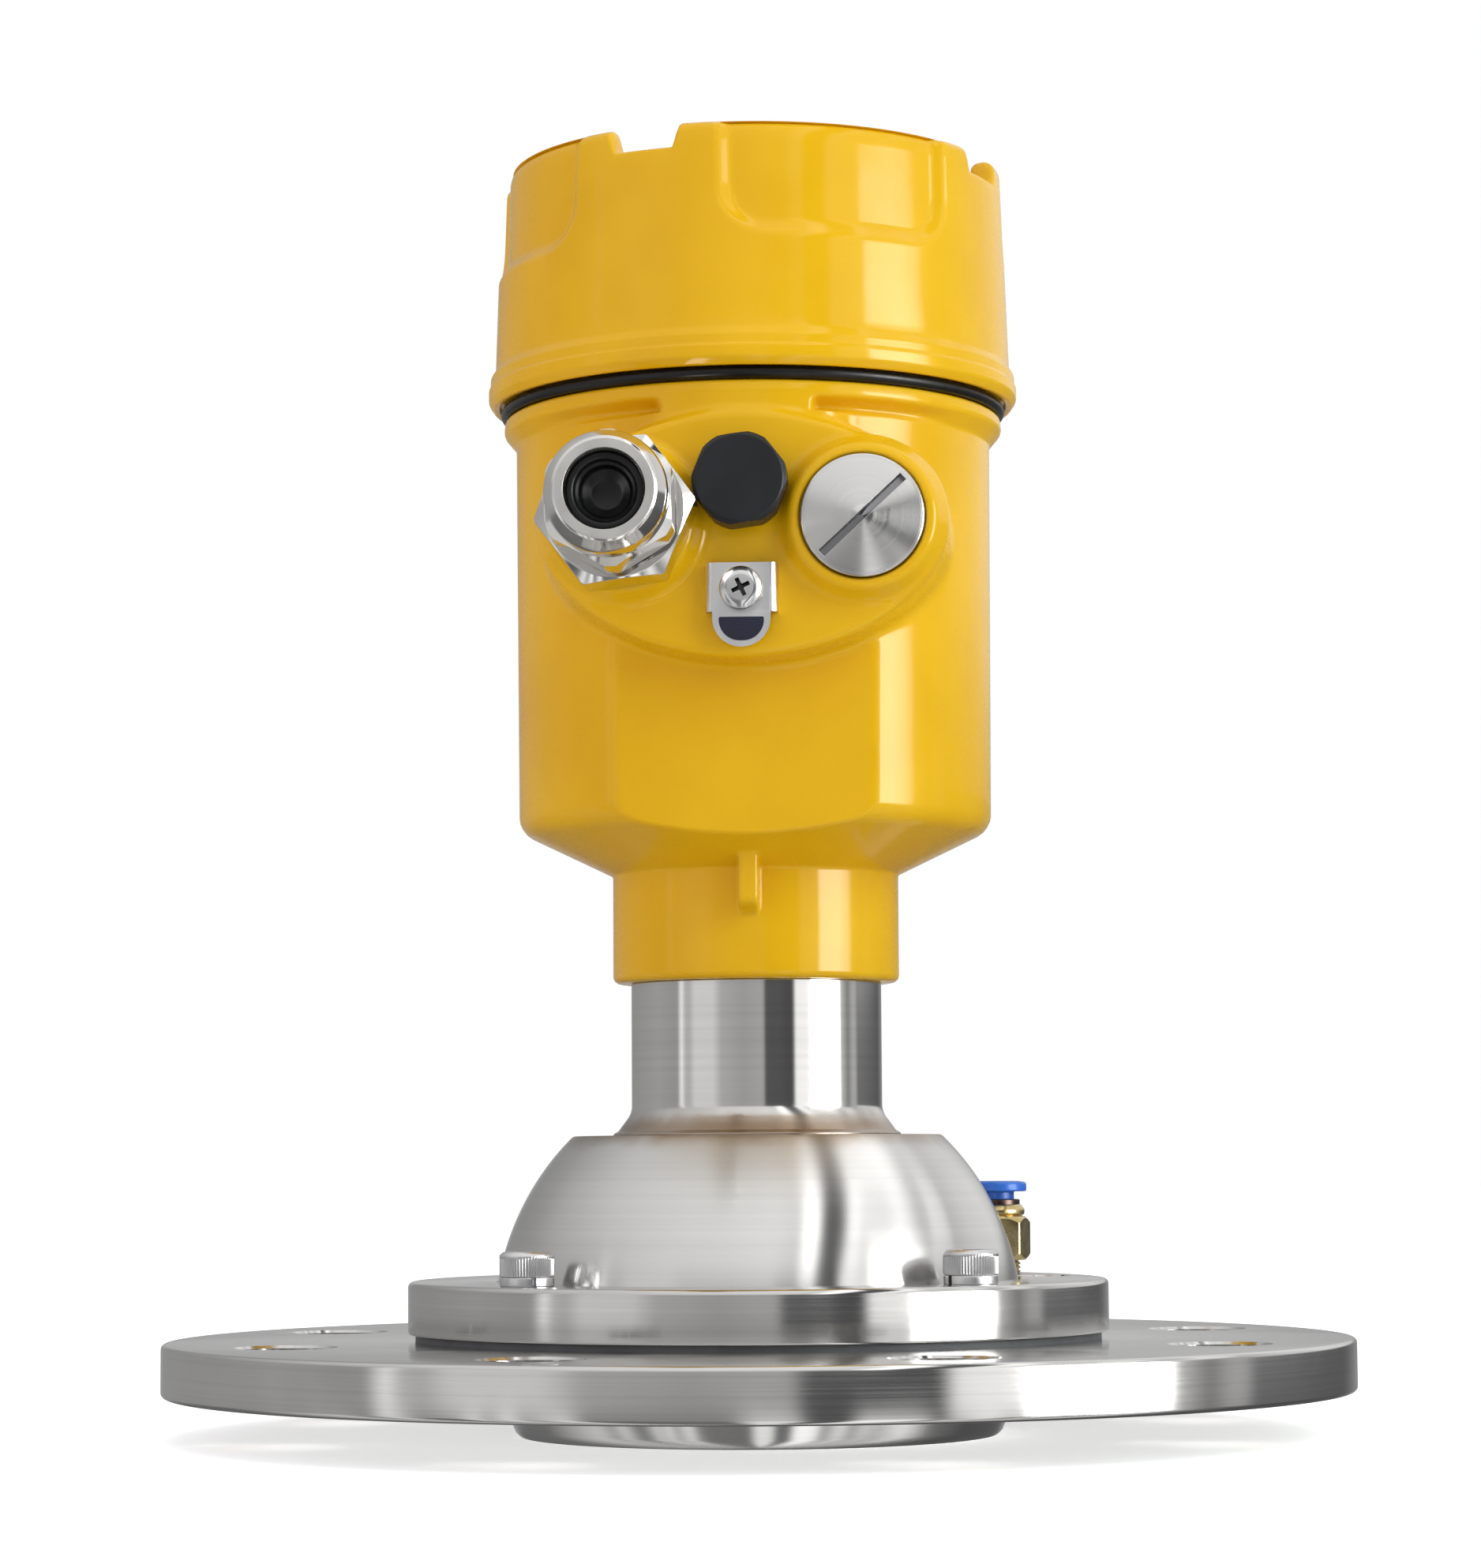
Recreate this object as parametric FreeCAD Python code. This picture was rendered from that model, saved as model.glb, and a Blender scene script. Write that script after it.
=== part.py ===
import FreeCAD, Part
import math
import os

# Radar level transmitter: a painted head on a ball joint that a split flange clamps.
# Millimetres, +Z up, cable entries at -Y. Origin: centre of the process flange's lower face.

# Process flange
FLANGE_RADIUS = 110.0
FLANGE_THICKNESS = 9.6
FLANGE_EDGE = 1.0
BOLT_EDGE = 20.0
BOLT_HOLE_RADIUS = 9.0
BOLT_COUNT = 8

# Ball joint
BALL_RADIUS = 49.0
BALL_CENTRE_Z = 12.0
BALL_BELOW_FLANGE = 8.1
BALL_TOP_Z = 47.0
BALL_WALL = 4.5
MOVING_GAP = 0.3
SEAT_RING_DEPTH = 5.0
SEAT_RING_WIDTH = 2.2

# Clamp ring on top of the flange
CLAMP_LAND = 15.6
CLAMP_THICKNESS = 9.6
GASKET_THICKNESS = 1.2
GASKET_INSET = 1.4
CLAMP_SCREW_LAND = 6.2
FRONT_SCREW_ANGLE = 45.0
REAR_SCREW_ANGLE = 53.0
SCREW_RADIUS = 2.95
SCREW_HEAD_RADIUS = 4.95
SCREW_HEAD_HEIGHT = 4.5
SCREW_HEAD_EDGE = 0.5
SCREW_SOCKET_FLATS = 5.0
SCREW_SOCKET_DEPTH = 2.5
SCREW_FLOOR_LEFT = 2.6
SCREW_TIP_GAP = 0.5
WASHER_THICKNESS = 1.6
WASHER_SPLIT = 1.0
WASHER_SPLIT_ANGLE = 20.0
FIT_GAP = 0.05
SCREW_CLEARANCE = 0.35

# Purge air fitting and the open port beside it
PURGE_ANGLE = 38.5
PURGE_LAND = 7.7
SPARE_PORT_ANGLE = 15.0
SPARE_PORT_LAND = 5.7
PORT_RADIUS = 4.3
PORT_DEPTH = 7.0
PURGE_THREAD_RADIUS = 4.8
PURGE_STANDOFF = 2.5
PURGE_HEX_FLATS = 12.0
PURGE_HEX_HEIGHT = 8.4
PURGE_SHOULDER_RADIUS = 5.6
PURGE_SHOULDER_HEIGHT = 2.3
PURGE_RING_HEIGHT = 1.0
PURGE_RING_RADIUS = 4.7
PURGE_SOCKET_RADIUS = 4.0
PURGE_SOCKET_DEPTH = 9.0
TUBE_RADIUS = 3.05
TUBE_SEAT_LENGTH = 3.0
COLLAR_STEM_RADIUS = 3.6
COLLAR_HEAD_RADIUS = 6.0
COLLAR_HEAD_HEIGHT = 2.0
COLLAR_EDGE = 0.5
COLLAR_TRAVEL = 1.2
AIR_PASSAGE_RADIUS = 1.5
AIR_DRILL_OVERRUN = 3.0
PURGE_TIP_GAP = 1.0
PURGE_HEX_EDGE = 0.6
TUBE_SEAL_HEIGHT = 1.6
GRAB_RISE = 1.1
GRAB_SHEET = 0.6
GRAB_SLIT = 0.5
GRAB_ROOM = 2.0

# Lens antenna inside the ball
LENS_THREAD_WALL = 9.4
LENS_RING_WIDTH = 3.6
LENS_STEP = 3.0
LENS_RECESS = 0.4
LENS_PIN_HOLE_RADIUS = 0.9
LENS_PIN_HOLE_DEPTH = 1.5
LENS_RIM = 4.0
LENS_DOME = 9.0
LENS_RING_HEIGHT = 2.5
LENS_SEAL = 0.8
HORN_WALL = 1.5
HORN_THROAT_RADIUS = 4.0
HORN_RIM = 2.0
HORN_STANDS_OUT = 3.0
HF_RIM_HEIGHT = 6.0
HF_STEP = 3.0
HF_PLUG_RADIUS = 6.0
HF_PLUG_HEIGHT = 4.0
HF_EDGE = 1.0

# Neck tube and the turning fit of the head
TUBE_OUTER_RADIUS = 23.35
TUBE_WALL = 4.85
TUBE_FLARE = 3.1
TUBE_FLARE_HEIGHT = 4.3
TUBE_FOOT_HEIGHT = 0.6
HEAD_BOTTOM_Z = 75.3
SPIGOT_RADIUS = 21.5
SPIGOT_GAP = 0.08
SPIGOT_HEIGHT = 17.7
SPIGOT_STANDS_OUT = 4.0
NECK_SEAL_WIDTH = 2.6
NECK_SEAL_DEPTH = 1.6
NECK_SEAL_HEIGHT_UP = 6.0
SNAP_RING_THICKNESS = 1.2
SNAP_RING_REACH = 2.2
SNAP_RING_GAP = 6.0
SPIGOT_EDGE = 0.6

# Cast housing
NECK_RADIUS = 26.7
NECK_HEIGHT = 20.1
BODY_FOOT_RADIUS = 44.15
BODY_TOP_RADIUS = 44.6
CONE_SLOPE = 0.48
COLLAR_RADIUS = 46.9
COLLAR_BOTTOM_Z = 176.6
COLLAR_TOP_Z = 181.2
LEDGE_DEPTH = 3.2
THREAD_RADIUS = 43.6
THREAD_HEIGHT = 13.5
CAVITY_RADIUS = 40.6
CAVITY_FLOOR_Z = 106.0
FACET_Y = 37.3
FACET_WALL = 3.6
RIB_WIDTH = 3.6
RIB_REACH = 31.5
RIB_BOTTOM_Z = 87.5
RIB_ABOVE_NECK = 3.5
RIB_CORNER = 2.5
NECK_EDGE = 1.5
CONE_EDGE = 2.0
BODY_FOOT_EDGE = 4.0
COLLAR_FOOT_EDGE = 1.2
HOUSING_EDGE = 0.8
LOCK_SCREW_RADIUS = 2.5
LOCK_SCREW_HEIGHT_UP = 12.06
LOCK_SCREW_INSET = 0.4
LOCK_SCREW_SOCKET_FLATS = 2.5
LOCK_SCREW_SOCKET_DEPTH = 1.6

# Oval entry pad on the front
PAD_HALF_WIDTH = 34.8
PAD_HALF_HEIGHT = 22.0
PAD_CENTRE_Z = 153.4
PAD_FACE_Y = 47.5
PAD_EDGE = 2.6
ENTRY_X = 21.5
ENTRY_Z = 155.6
BOSS_FOOT_RADIUS = 14.7
BOSS_FACE_RADIUS = 12.7
BOSS_HEIGHT = 4.0
BOSS_EDGE = 1.0
ENTRY_THREAD_RADIUS = 10.0

# Cable gland
GLAND_HEX_FLATS = 24.9
GLAND_HEX_CORNERS = 28.4
GLAND_HEX_LENGTH = 11.4
GLAND_GASKET = 0.8
GLAND_HEX_TURN = 7.0
GLAND_BORE = 7.2
GLAND_SPIGOT_RADIUS = 9.0
GLAND_SPIGOT_LENGTH = 12.0
GLAND_HEX_EDGE = 1.0
GLAND_FACE_INSET = 0.4
GLAND_THREAD_OVERRUN = 1.0
NUT_GAP = 1.6
NUT_LENGTH = 20.4
NUT_FLATS = 21.6
NUT_DOME_RADIUS = 11.0
NUT_FACE_RADIUS = 8.55
NUT_MOUTH_RADIUS = 6.65
NUT_LIP = 2.2
NUT_HEX_SHARE = 0.55
NUT_HEX_TURN = 31.0
NUT_CORNER_STANDS_OUT = 0.9
NUT_BARREL_INSET = 0.4
NUT_NOSE_RADIUS = 3.5
NUT_NOSE_STEP = 1.6
NUT_FACE_EDGE = 0.4
CAGE_OUTER_RADIUS = 7.8
CAGE_WALL = 0.9
CAGE_SLIT = 1.0
CABLE_DISH_RADIUS = 4.4
CABLE_DISH_STEP = 1.0
CABLE_DISH_WALL_DEPTH = 2.5
CABLE_DISH_DEPTH = 4.0
CABLE_SKIN = 1.5
CABLE_EDGE = 0.5

# Blanking plug, vent plug and earth terminal
PLUG_HEAD_RADIUS = 11.0
PLUG_HEAD_HEIGHT = 2.2
PLUG_RECESS = 1.4
PLUG_GAP = 0.2
PLUG_EDGE = 0.5
PLUG_THREAD_LENGTH = 9.0
PLUG_SLOT_SHARE = 0.9
PLUG_SLOT_WIDTH = 1.5
PLUG_SLOT_DEPTH = 1.2
PLUG_SLOT_TURN = 43.0
VENT_Z = 161.8
VENT_FLATS = 16.0
VENT_CORNERS = 16.7
VENT_SKIRT_RADIUS = 7.4
VENT_SKIRT_HEIGHT = 1.8
VENT_SEAL = 0.8
VENT_HEIGHT = 9.6
VENT_THREAD_RADIUS = 5.9
VENT_HEX_TURN = 8.0
VENT_HEX_EDGE = 0.8
VENT_FACE_INSET = 0.6
VENT_THREAD_LENGTH = 10.0
VENT_WALL = 2.0
VENT_SEAL_INSET = 0.3
MEMBRANE_Y_UP = 2.4
MEMBRANE_THICKNESS = 0.4
EARTH_Z = 142.9
EARTH_PLATE_HALF_WIDTH = 5.15
EARTH_PLATE_TOP_Z = 147.6
EARTH_EAR_BOTTOM_Z = 138.9
EARTH_TONGUE_BOTTOM_Z = 132.6
EARTH_STANDOFF = 3.4
EARTH_SHEET = 0.9
EARTH_EAR_X = 6.4
EARTH_SCREW_HEAD_RADIUS = 3.9
EARTH_SCREW_HEAD_HEIGHT = 2.6
EARTH_SCREW_RADIUS = 1.95
EARTH_SCREW_LENGTH = 6.5
EARTH_HOLE_DEPTH = 7.0
EARTH_FOLD_RADIUS = 1.6
EARTH_SCREW_DOME = 2.0
EARTH_CROSS_HALF = 1.8
EARTH_CROSS_WIDTH = 0.8
EARTH_CROSS_DEPTH = 1.3
EARTH_CROSS_TURN = 25.0
LABEL_HALF_WIDTH = 3.75
LABEL_TOP = 5.0
LABEL_BOTTOM = 9.2
LABEL_CORNER = 0.3
LABEL_THICKNESS = 0.15

# Screw cover with a sight glass
COVER_BEAD_RADIUS = 49.8
COVER_BEAD_TOP_Z = 189.6
COVER_WALL_FOOT_RADIUS = 48.4
COVER_WALL_TOP_RADIUS = 47.2
COVER_TOP_Z = 228.3
COVER_FLOOR_Z = 221.0
COVER_FLOOR_THICKNESS = 4.0
COVER_RIM_WALL = 4.6
COVER_SKIRT_Z = 182.4
COVER_BORE_RADIUS = 43.9
COVER_THREAD_LENGTH = 15.5
COVER_CAVITY_RADIUS = 42.6
POCKET_COUNT = 4
POCKET_WIDTH = 43.6
POCKET_DEPTH = 1.6
POCKET_BOTTOM_Z = 208.0
POCKET_CORNER = 8.0
POCKET_ANGLE = 23.0
NOTCH_WIDTH = 12.6
NOTCH_DEPTH = 4.3
COVER_SKIRT_DROP = 0.4
COVER_SKIRT_EDGE = 1.2
COVER_SKIRT_RISE = 1.6
COVER_SMALL_EDGE = 0.5
COVER_BEAD_EDGE = 1.5
COVER_WALL_EDGE = 2.0
COVER_RIM_EDGE = 1.6
O_RING_EDGE = 0.5
O_RING_HALF_WIDTH = 1.1
O_RING_RADIUS = 46.3
GLASS_RADIUS = 31.0
GLASS_THICKNESS = 6.4
GLASS_LAND = 4.0
GLASS_SEAL = 0.6
GLASS_RING_HEIGHT = 3.5
GLASS_RING_SLOT_WIDTH = 2.0
GLASS_RING_SLOT_DEPTH = 1.2
GLASS_RING_SLOT_WALL = 1.5
GLASS_EDGE = 0.5
GLASS_WELL_WALL = 3.6

# Electronics in the housing
MODULE_RADIUS = 33.0
MODULE_STEP_Z = 146.0
MODULE_TOP_Z = 184.0
MODULE_STEP_Y = -6.0
TERMINAL_LENGTH = 34.0
TERMINAL_DEPTH = 11.0
TERMINAL_HEIGHT = 10.0
TERMINAL_COUNT = 6
TERMINAL_BEHIND_STEP = 1.0
TERMINAL_SCREW_RADIUS = 1.9
TERMINAL_SCREW_DEPTH = 4.0
TERMINAL_SCREW_SUNK = 0.8
TERMINAL_SLOT_WIDTH = 0.6
TERMINAL_MOUTH = 3.2
TERMINAL_MOUTH_LOW = 1.5
MODULE_FOOT_EDGE = 2.0
MODULE_EDGE = 1.5
DISPLAY_RADIUS = 35.5
DISPLAY_THICKNESS = 12.0
SCREEN_WIDTH = 40.0
SCREEN_HEIGHT = 22.0
SCREEN_THICKNESS = 1.6
SCREEN_RECESS = 0.4
DISPLAY_FOOT_EDGE = 1.0
SCREEN_Y = 6.0
KEY_RADIUS = 3.4
KEY_PITCH = 11.0
KEY_Y = -17.0
KEY_STANDS_OUT = 1.2
KEY_WELL_DEPTH = 3.0
KEY_FREE_DEPTH = 0.9
KEY_EDGE = 0.5
KEY_COUNT = 4

# Worked-out heights and radii
BOLT_CIRCLE_RADIUS = FLANGE_RADIUS - BOLT_EDGE
SEAT_RADIUS = BALL_RADIUS + MOVING_GAP
CLAMP_RADIUS = SEAT_RADIUS + CLAMP_LAND
CLAMP_SCREW_CIRCLE_RADIUS = SEAT_RADIUS + CLAMP_SCREW_LAND
PURGE_CIRCLE_RADIUS = SEAT_RADIUS + PURGE_LAND
SPARE_PORT_CIRCLE_RADIUS = SEAT_RADIUS + SPARE_PORT_LAND
LENS_THREAD_RADIUS = BALL_RADIUS - LENS_THREAD_WALL
LENS_WINDOW_RADIUS = LENS_THREAD_RADIUS - LENS_RING_WIDTH
LENS_SHOULDER_RADIUS = LENS_THREAD_RADIUS - LENS_STEP
SEAT_RING_RADIUS = SEAT_RADIUS + SEAT_RING_WIDTH
BALL_BOTTOM_Z = -BALL_BELOW_FLANGE
CLAMP_BOTTOM_Z = FLANGE_THICKNESS + GASKET_THICKNESS
CLAMP_TOP_Z = CLAMP_BOTTOM_Z + CLAMP_THICKNESS
SPIGOT_TOP_Z = HEAD_BOTTOM_Z + SPIGOT_HEIGHT
NECK_TOP_Z = HEAD_BOTTOM_Z + NECK_HEIGHT
BODY_FOOT_Z = NECK_TOP_Z + (BODY_FOOT_RADIUS - NECK_RADIUS) * CONE_SLOPE
THREAD_TOP_Z = COLLAR_TOP_Z + THREAD_HEIGHT
BOSS_FACE_Y = PAD_FACE_Y + BOSS_HEIGHT
LENS_SHOULDER_Z = BALL_BOTTOM_Z + LENS_RING_HEIGHT + LENS_RIM + LENS_SEAL
GLAND_HEX_FRONT_Y = BOSS_FACE_Y + GLAND_GASKET + GLAND_HEX_LENGTH
NUT_BACK_Y = GLAND_HEX_FRONT_Y + NUT_GAP
NUT_FRONT_Y = NUT_BACK_Y + NUT_LENGTH
GLASS_HOLE_RADIUS = GLASS_RADIUS - GLASS_LAND
GLASS_TOP_Z = COVER_FLOOR_Z - COVER_FLOOR_THICKNESS - GLASS_SEAL
GLASS_BOTTOM_Z = GLASS_TOP_Z - GLASS_THICKNESS
PURGE_HEX_Z = CLAMP_TOP_Z + PURGE_STANDOFF
PURGE_SHOULDER_Z = PURGE_HEX_Z + PURGE_HEX_HEIGHT
PURGE_RING_Z = PURGE_SHOULDER_Z + PURGE_SHOULDER_HEIGHT
COLLAR_HEAD_Z = PURGE_RING_Z + PURGE_RING_HEIGHT + COLLAR_TRAVEL + MOVING_GAP
AXIS = FreeCAD.Vector(0, 0, 1)
CENTRE = FreeCAD.Vector(0, 0, 0)


def at(x, y, z):
    return FreeCAD.Vector(x, y, z)


def outline(points):
    """Closed wire in the XZ plane; a third number in a point rounds that corner."""
    corners = []
    for index, point in enumerate(points):
        here = at(point[0], 0, point[1])
        before = points[index - 1]
        after = points[(index + 1) % len(points)]
        if len(point) < 3:
            corners.append((here, here, None))
            continue
        to_before = (at(before[0], 0, before[1]) - here).normalize()
        to_after = (at(after[0], 0, after[1]) - here).normalize()
        half = to_before.getAngle(to_after) / 2
        reach = point[2] / math.tan(half)
        middle = here + (to_before + to_after).normalize() * (point[2] / math.sin(half) - point[2])
        corners.append((here + to_before * reach, here + to_after * reach, middle))
    edges = []
    for index, (start, end, middle) in enumerate(corners):
        if middle is not None:
            edges.append(Part.Arc(start, middle, end).toShape())
        following = corners[(index + 1) % len(corners)][0]
        if end.distanceToPoint(following) > 1e-6:
            edges.append(Part.LineSegment(end, following).toShape())
    return Part.Wire(edges)


def turned(points):
    """Solid of revolution about Z."""
    return Part.Face(outline(points)).revolve(CENTRE, AXIS, 360)


def disc(radius, low, high, x=0.0, y=0.0):
    return Part.makeCylinder(radius, high - low, at(x, y, low))


def ring(inner, outer, low, high, x=0.0, y=0.0):
    return disc(outer, low, high, x, y).cut(disc(inner, low - 1, high + 1, x, y))


def block(x0, x1, y0, y1, z0, z1):
    return Part.makeBox(x1 - x0, y1 - y0, z1 - z0, at(x0, y0, z0))


def hexagon(flats, low, high, corners=None):
    """Hexagonal prism about Z; its corners are turned down to a diameter where one is given."""
    reach = flats / math.sqrt(3)
    points = [at(reach * math.cos(math.radians(60 * i)), reach * math.sin(math.radians(60 * i)), low)
              for i in range(6)]
    prism = Part.Face(Part.makePolygon(points + [points[0]])).extrude(at(0, 0, high - low))
    return prism.common(disc(corners / 2, low, high)) if corners else prism


def cone_end(shape, radius, edge, top):
    """Chamfer the upper end of a piece about Z down to a radius."""
    keeper = turned([(0, top - 2 * edge - 60), (radius + edge * 2, top - 2 * edge - 60),
                     (radius + edge * 2, top - edge), (radius, top), (0, top)])
    return shape.common(keeper)


def to_front(shape, x, z):
    """Turn a piece built along +Z to point along -Y, on the axis at x, z."""
    shape = shape.copy()
    shape.rotate(CENTRE, at(1, 0, 0), 90)
    shape.translate(at(x, 0, z))
    return shape


def polar(radius, angle):
    return radius * math.cos(math.radians(angle)), radius * math.sin(math.radians(angle))


def turned_about_z(shape, angle):
    shape = shape.copy()
    shape.rotate(CENTRE, AXIS, angle)
    return shape


def screw_places():
    """Clamp screw centres: the rear pair stands wider to clear the purge fitting."""
    angles = (-FRONT_SCREW_ANGLE, FRONT_SCREW_ANGLE - 180, REAR_SCREW_ANGLE, 180 - REAR_SCREW_ANGLE)
    return [polar(CLAMP_SCREW_CIRCLE_RADIUS, angle) for angle in angles]


def ball_space(radius):
    return Part.makeSphere(radius, at(0, 0, BALL_CENTRE_Z))


def main_flange():
    top = FLANGE_THICKNESS
    plate = turned([(0, 0), (FLANGE_RADIUS, 0, FLANGE_EDGE), (FLANGE_RADIUS, top, FLANGE_EDGE), (0, top)])
    plate = plate.cut(ball_space(SEAT_RADIUS))
    plate = plate.cut(disc(SEAT_RING_RADIUS + MOVING_GAP, top - SEAT_RING_DEPTH, top + 1))
    for index in range(BOLT_COUNT):
        x, y = polar(BOLT_CIRCLE_RADIUS, 360 / BOLT_COUNT * (index + 0.5))
        plate = plate.cut(disc(BOLT_HOLE_RADIUS, -1, top + 1, x, y))
    for x, y in screw_places():
        plate = plate.cut(disc(SCREW_RADIUS + FIT_GAP, SCREW_FLOOR_LEFT, top + 1, x, y))
    x, y = polar(PURGE_CIRCLE_RADIUS, PURGE_ANGLE)
    level = (top - SEAT_RING_DEPTH) / 2
    plate = plate.cut(disc(AIR_PASSAGE_RADIUS, level, top + 1, x, y))
    drilling = Part.makeCylinder(AIR_PASSAGE_RADIUS, PURGE_CIRCLE_RADIUS - BALL_RADIUS + AIR_DRILL_OVERRUN,
                                 at(x, y, level), at(-x, -y, 0))
    return plate.cut(drilling)


def ball_seat_ring():
    low = FLANGE_THICKNESS - SEAT_RING_DEPTH
    blank = disc(SEAT_RING_RADIUS, low, CLAMP_BOTTOM_Z - MOVING_GAP)
    return blank.cut(ball_space(SEAT_RADIUS))


def clamp_gasket():
    sheet = ring(SEAT_RING_RADIUS + GASKET_INSET, CLAMP_RADIUS - GASKET_INSET,
                 FLANGE_THICKNESS, CLAMP_BOTTOM_Z)
    for x, y in screw_places():
        sheet = sheet.cut(disc(SCREW_RADIUS + SCREW_CLEARANCE, 0, CLAMP_TOP_Z, x, y))
    x, y = polar(PURGE_CIRCLE_RADIUS, PURGE_ANGLE)
    return sheet.cut(disc(AIR_PASSAGE_RADIUS, 0, CLAMP_TOP_Z, x, y))


def clamp_ring():
    low, top = CLAMP_BOTTOM_Z, CLAMP_TOP_Z
    plate = turned([(0, low), (CLAMP_RADIUS, low, FLANGE_EDGE / 2),
                    (CLAMP_RADIUS, top, FLANGE_EDGE), (0, top)])
    plate = plate.cut(ball_space(SEAT_RADIUS))
    for x, y in screw_places():
        plate = plate.cut(disc(SCREW_RADIUS + SCREW_CLEARANCE, low - 1, top + 1, x, y))
    ports = ((PURGE_CIRCLE_RADIUS, PURGE_ANGLE), (SPARE_PORT_CIRCLE_RADIUS, SPARE_PORT_ANGLE))
    for radius, angle in ports:
        x, y = polar(radius, angle)
        plate = plate.cut(disc(PORT_RADIUS, top - PORT_DEPTH, top + 1, x, y))
        plate = plate.cut(disc(AIR_PASSAGE_RADIUS, low - 1, top, x, y))
    return plate


def clamp_screw(x, y):
    under_head = CLAMP_TOP_Z + WASHER_THICKNESS
    top = under_head + SCREW_HEAD_HEIGHT
    tip = SCREW_FLOOR_LEFT + SCREW_TIP_GAP
    screw = turned([(0, tip), (SCREW_RADIUS, tip),
                    (SCREW_RADIUS, under_head), (SCREW_HEAD_RADIUS, under_head),
                    (SCREW_HEAD_RADIUS, top, SCREW_HEAD_EDGE), (0, top)])
    socket = hexagon(SCREW_SOCKET_FLATS, top - SCREW_SOCKET_DEPTH, top + 1)
    screw = screw.cut(socket)
    screw.translate(at(x, y, 0))
    return screw


def clamp_screws():
    return Part.makeCompound([clamp_screw(x, y) for x, y in screw_places()])


def clamp_spring_washers():
    washers = []
    for x, y in screw_places():
        washer = ring(SCREW_RADIUS + FIT_GAP, SCREW_HEAD_RADIUS - FIT_GAP, CLAMP_TOP_Z,
                      CLAMP_TOP_Z + WASHER_THICKNESS, x, y)
        split = block(-WASHER_SPLIT / 2, WASHER_SPLIT / 2, 0, SCREW_HEAD_RADIUS + 1,
                      CLAMP_TOP_Z - 1, CLAMP_TOP_Z + WASHER_THICKNESS + 1)
        split.rotate(CENTRE, AXIS, WASHER_SPLIT_ANGLE)
        split.translate(at(x, y, 0))
        washers.append(washer.cut(split))
    return Part.makeCompound(washers)


def at_purge(shape):
    x, y = polar(PURGE_CIRCLE_RADIUS, PURGE_ANGLE)
    shape.translate(at(x, y, 0))
    return shape


def purge_fitting_body():
    foot = CLAMP_TOP_Z - PORT_DEPTH + PURGE_TIP_GAP
    shank = turned([(0, foot), (PORT_RADIUS - FIT_GAP, foot), (PORT_RADIUS - FIT_GAP, CLAMP_TOP_Z),
                    (PURGE_THREAD_RADIUS, CLAMP_TOP_Z), (PURGE_THREAD_RADIUS, PURGE_HEX_Z), (0, PURGE_HEX_Z)])
    nut = hexagon(PURGE_HEX_FLATS, PURGE_HEX_Z, PURGE_SHOULDER_Z)
    nut = cone_end(nut, PURGE_HEX_FLATS / 2, PURGE_HEX_EDGE, PURGE_SHOULDER_Z)
    shoulder = turned([(0, PURGE_SHOULDER_Z), (PURGE_SHOULDER_RADIUS, PURGE_SHOULDER_Z),
                       (PURGE_SHOULDER_RADIUS, PURGE_RING_Z, PURGE_SHOULDER_HEIGHT / 2), (0, PURGE_RING_Z)])
    solid = shank.fuse([nut, shoulder]).removeSplitter()
    socket_floor = PURGE_RING_Z - PURGE_SOCKET_DEPTH
    solid = solid.cut(disc(PURGE_SOCKET_RADIUS, socket_floor, PURGE_RING_Z + 1))
    solid = solid.cut(disc(TUBE_RADIUS, socket_floor - TUBE_SEAT_LENGTH, PURGE_RING_Z))
    return at_purge(solid.cut(disc(AIR_PASSAGE_RADIUS, foot - 1, PURGE_RING_Z)))


def purge_fitting_ring():
    return at_purge(ring(COLLAR_STEM_RADIUS + MOVING_GAP, PURGE_RING_RADIUS, PURGE_RING_Z,
                         PURGE_RING_Z + PURGE_RING_HEIGHT))


def purge_tube_seal():
    low = PURGE_RING_Z - PURGE_SOCKET_DEPTH
    return at_purge(ring(TUBE_RADIUS + FIT_GAP, PURGE_SOCKET_RADIUS - FIT_GAP, low,
                         low + TUBE_SEAL_HEIGHT))


def purge_collet():
    low = PURGE_RING_Z - PURGE_SOCKET_DEPTH + TUBE_SEAL_HEIGHT
    inner = TUBE_RADIUS + FIT_GAP
    outer = PURGE_SOCKET_RADIUS - FIT_GAP
    grab = turned([(inner, low + GRAB_RISE), (outer, low), (outer, low + GRAB_SHEET),
                   (inner, low + GRAB_RISE + GRAB_SHEET)])
    slit_end = (inner + 2 * outer) / 3
    for index in range(3):
        slit = block(0, slit_end, -GRAB_SLIT / 2, GRAB_SLIT / 2, low - 1, low + GRAB_RISE + 1)
        grab = grab.cut(turned_about_z(slit, 120 * index))
    return at_purge(grab)


def purge_release_collar():
    top = COLLAR_HEAD_Z + COLLAR_HEAD_HEIGHT
    stem_low = PURGE_RING_Z - PURGE_SOCKET_DEPTH + TUBE_SEAL_HEIGHT + GRAB_ROOM + COLLAR_TRAVEL
    sleeve = turned([(TUBE_RADIUS + FIT_GAP, stem_low), (COLLAR_STEM_RADIUS, stem_low),
                     (COLLAR_STEM_RADIUS, COLLAR_HEAD_Z), (COLLAR_HEAD_RADIUS, COLLAR_HEAD_Z, COLLAR_EDGE),
                     (COLLAR_HEAD_RADIUS, top, COLLAR_EDGE), (TUBE_RADIUS + FIT_GAP, top)])
    return at_purge(sleeve)


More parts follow.
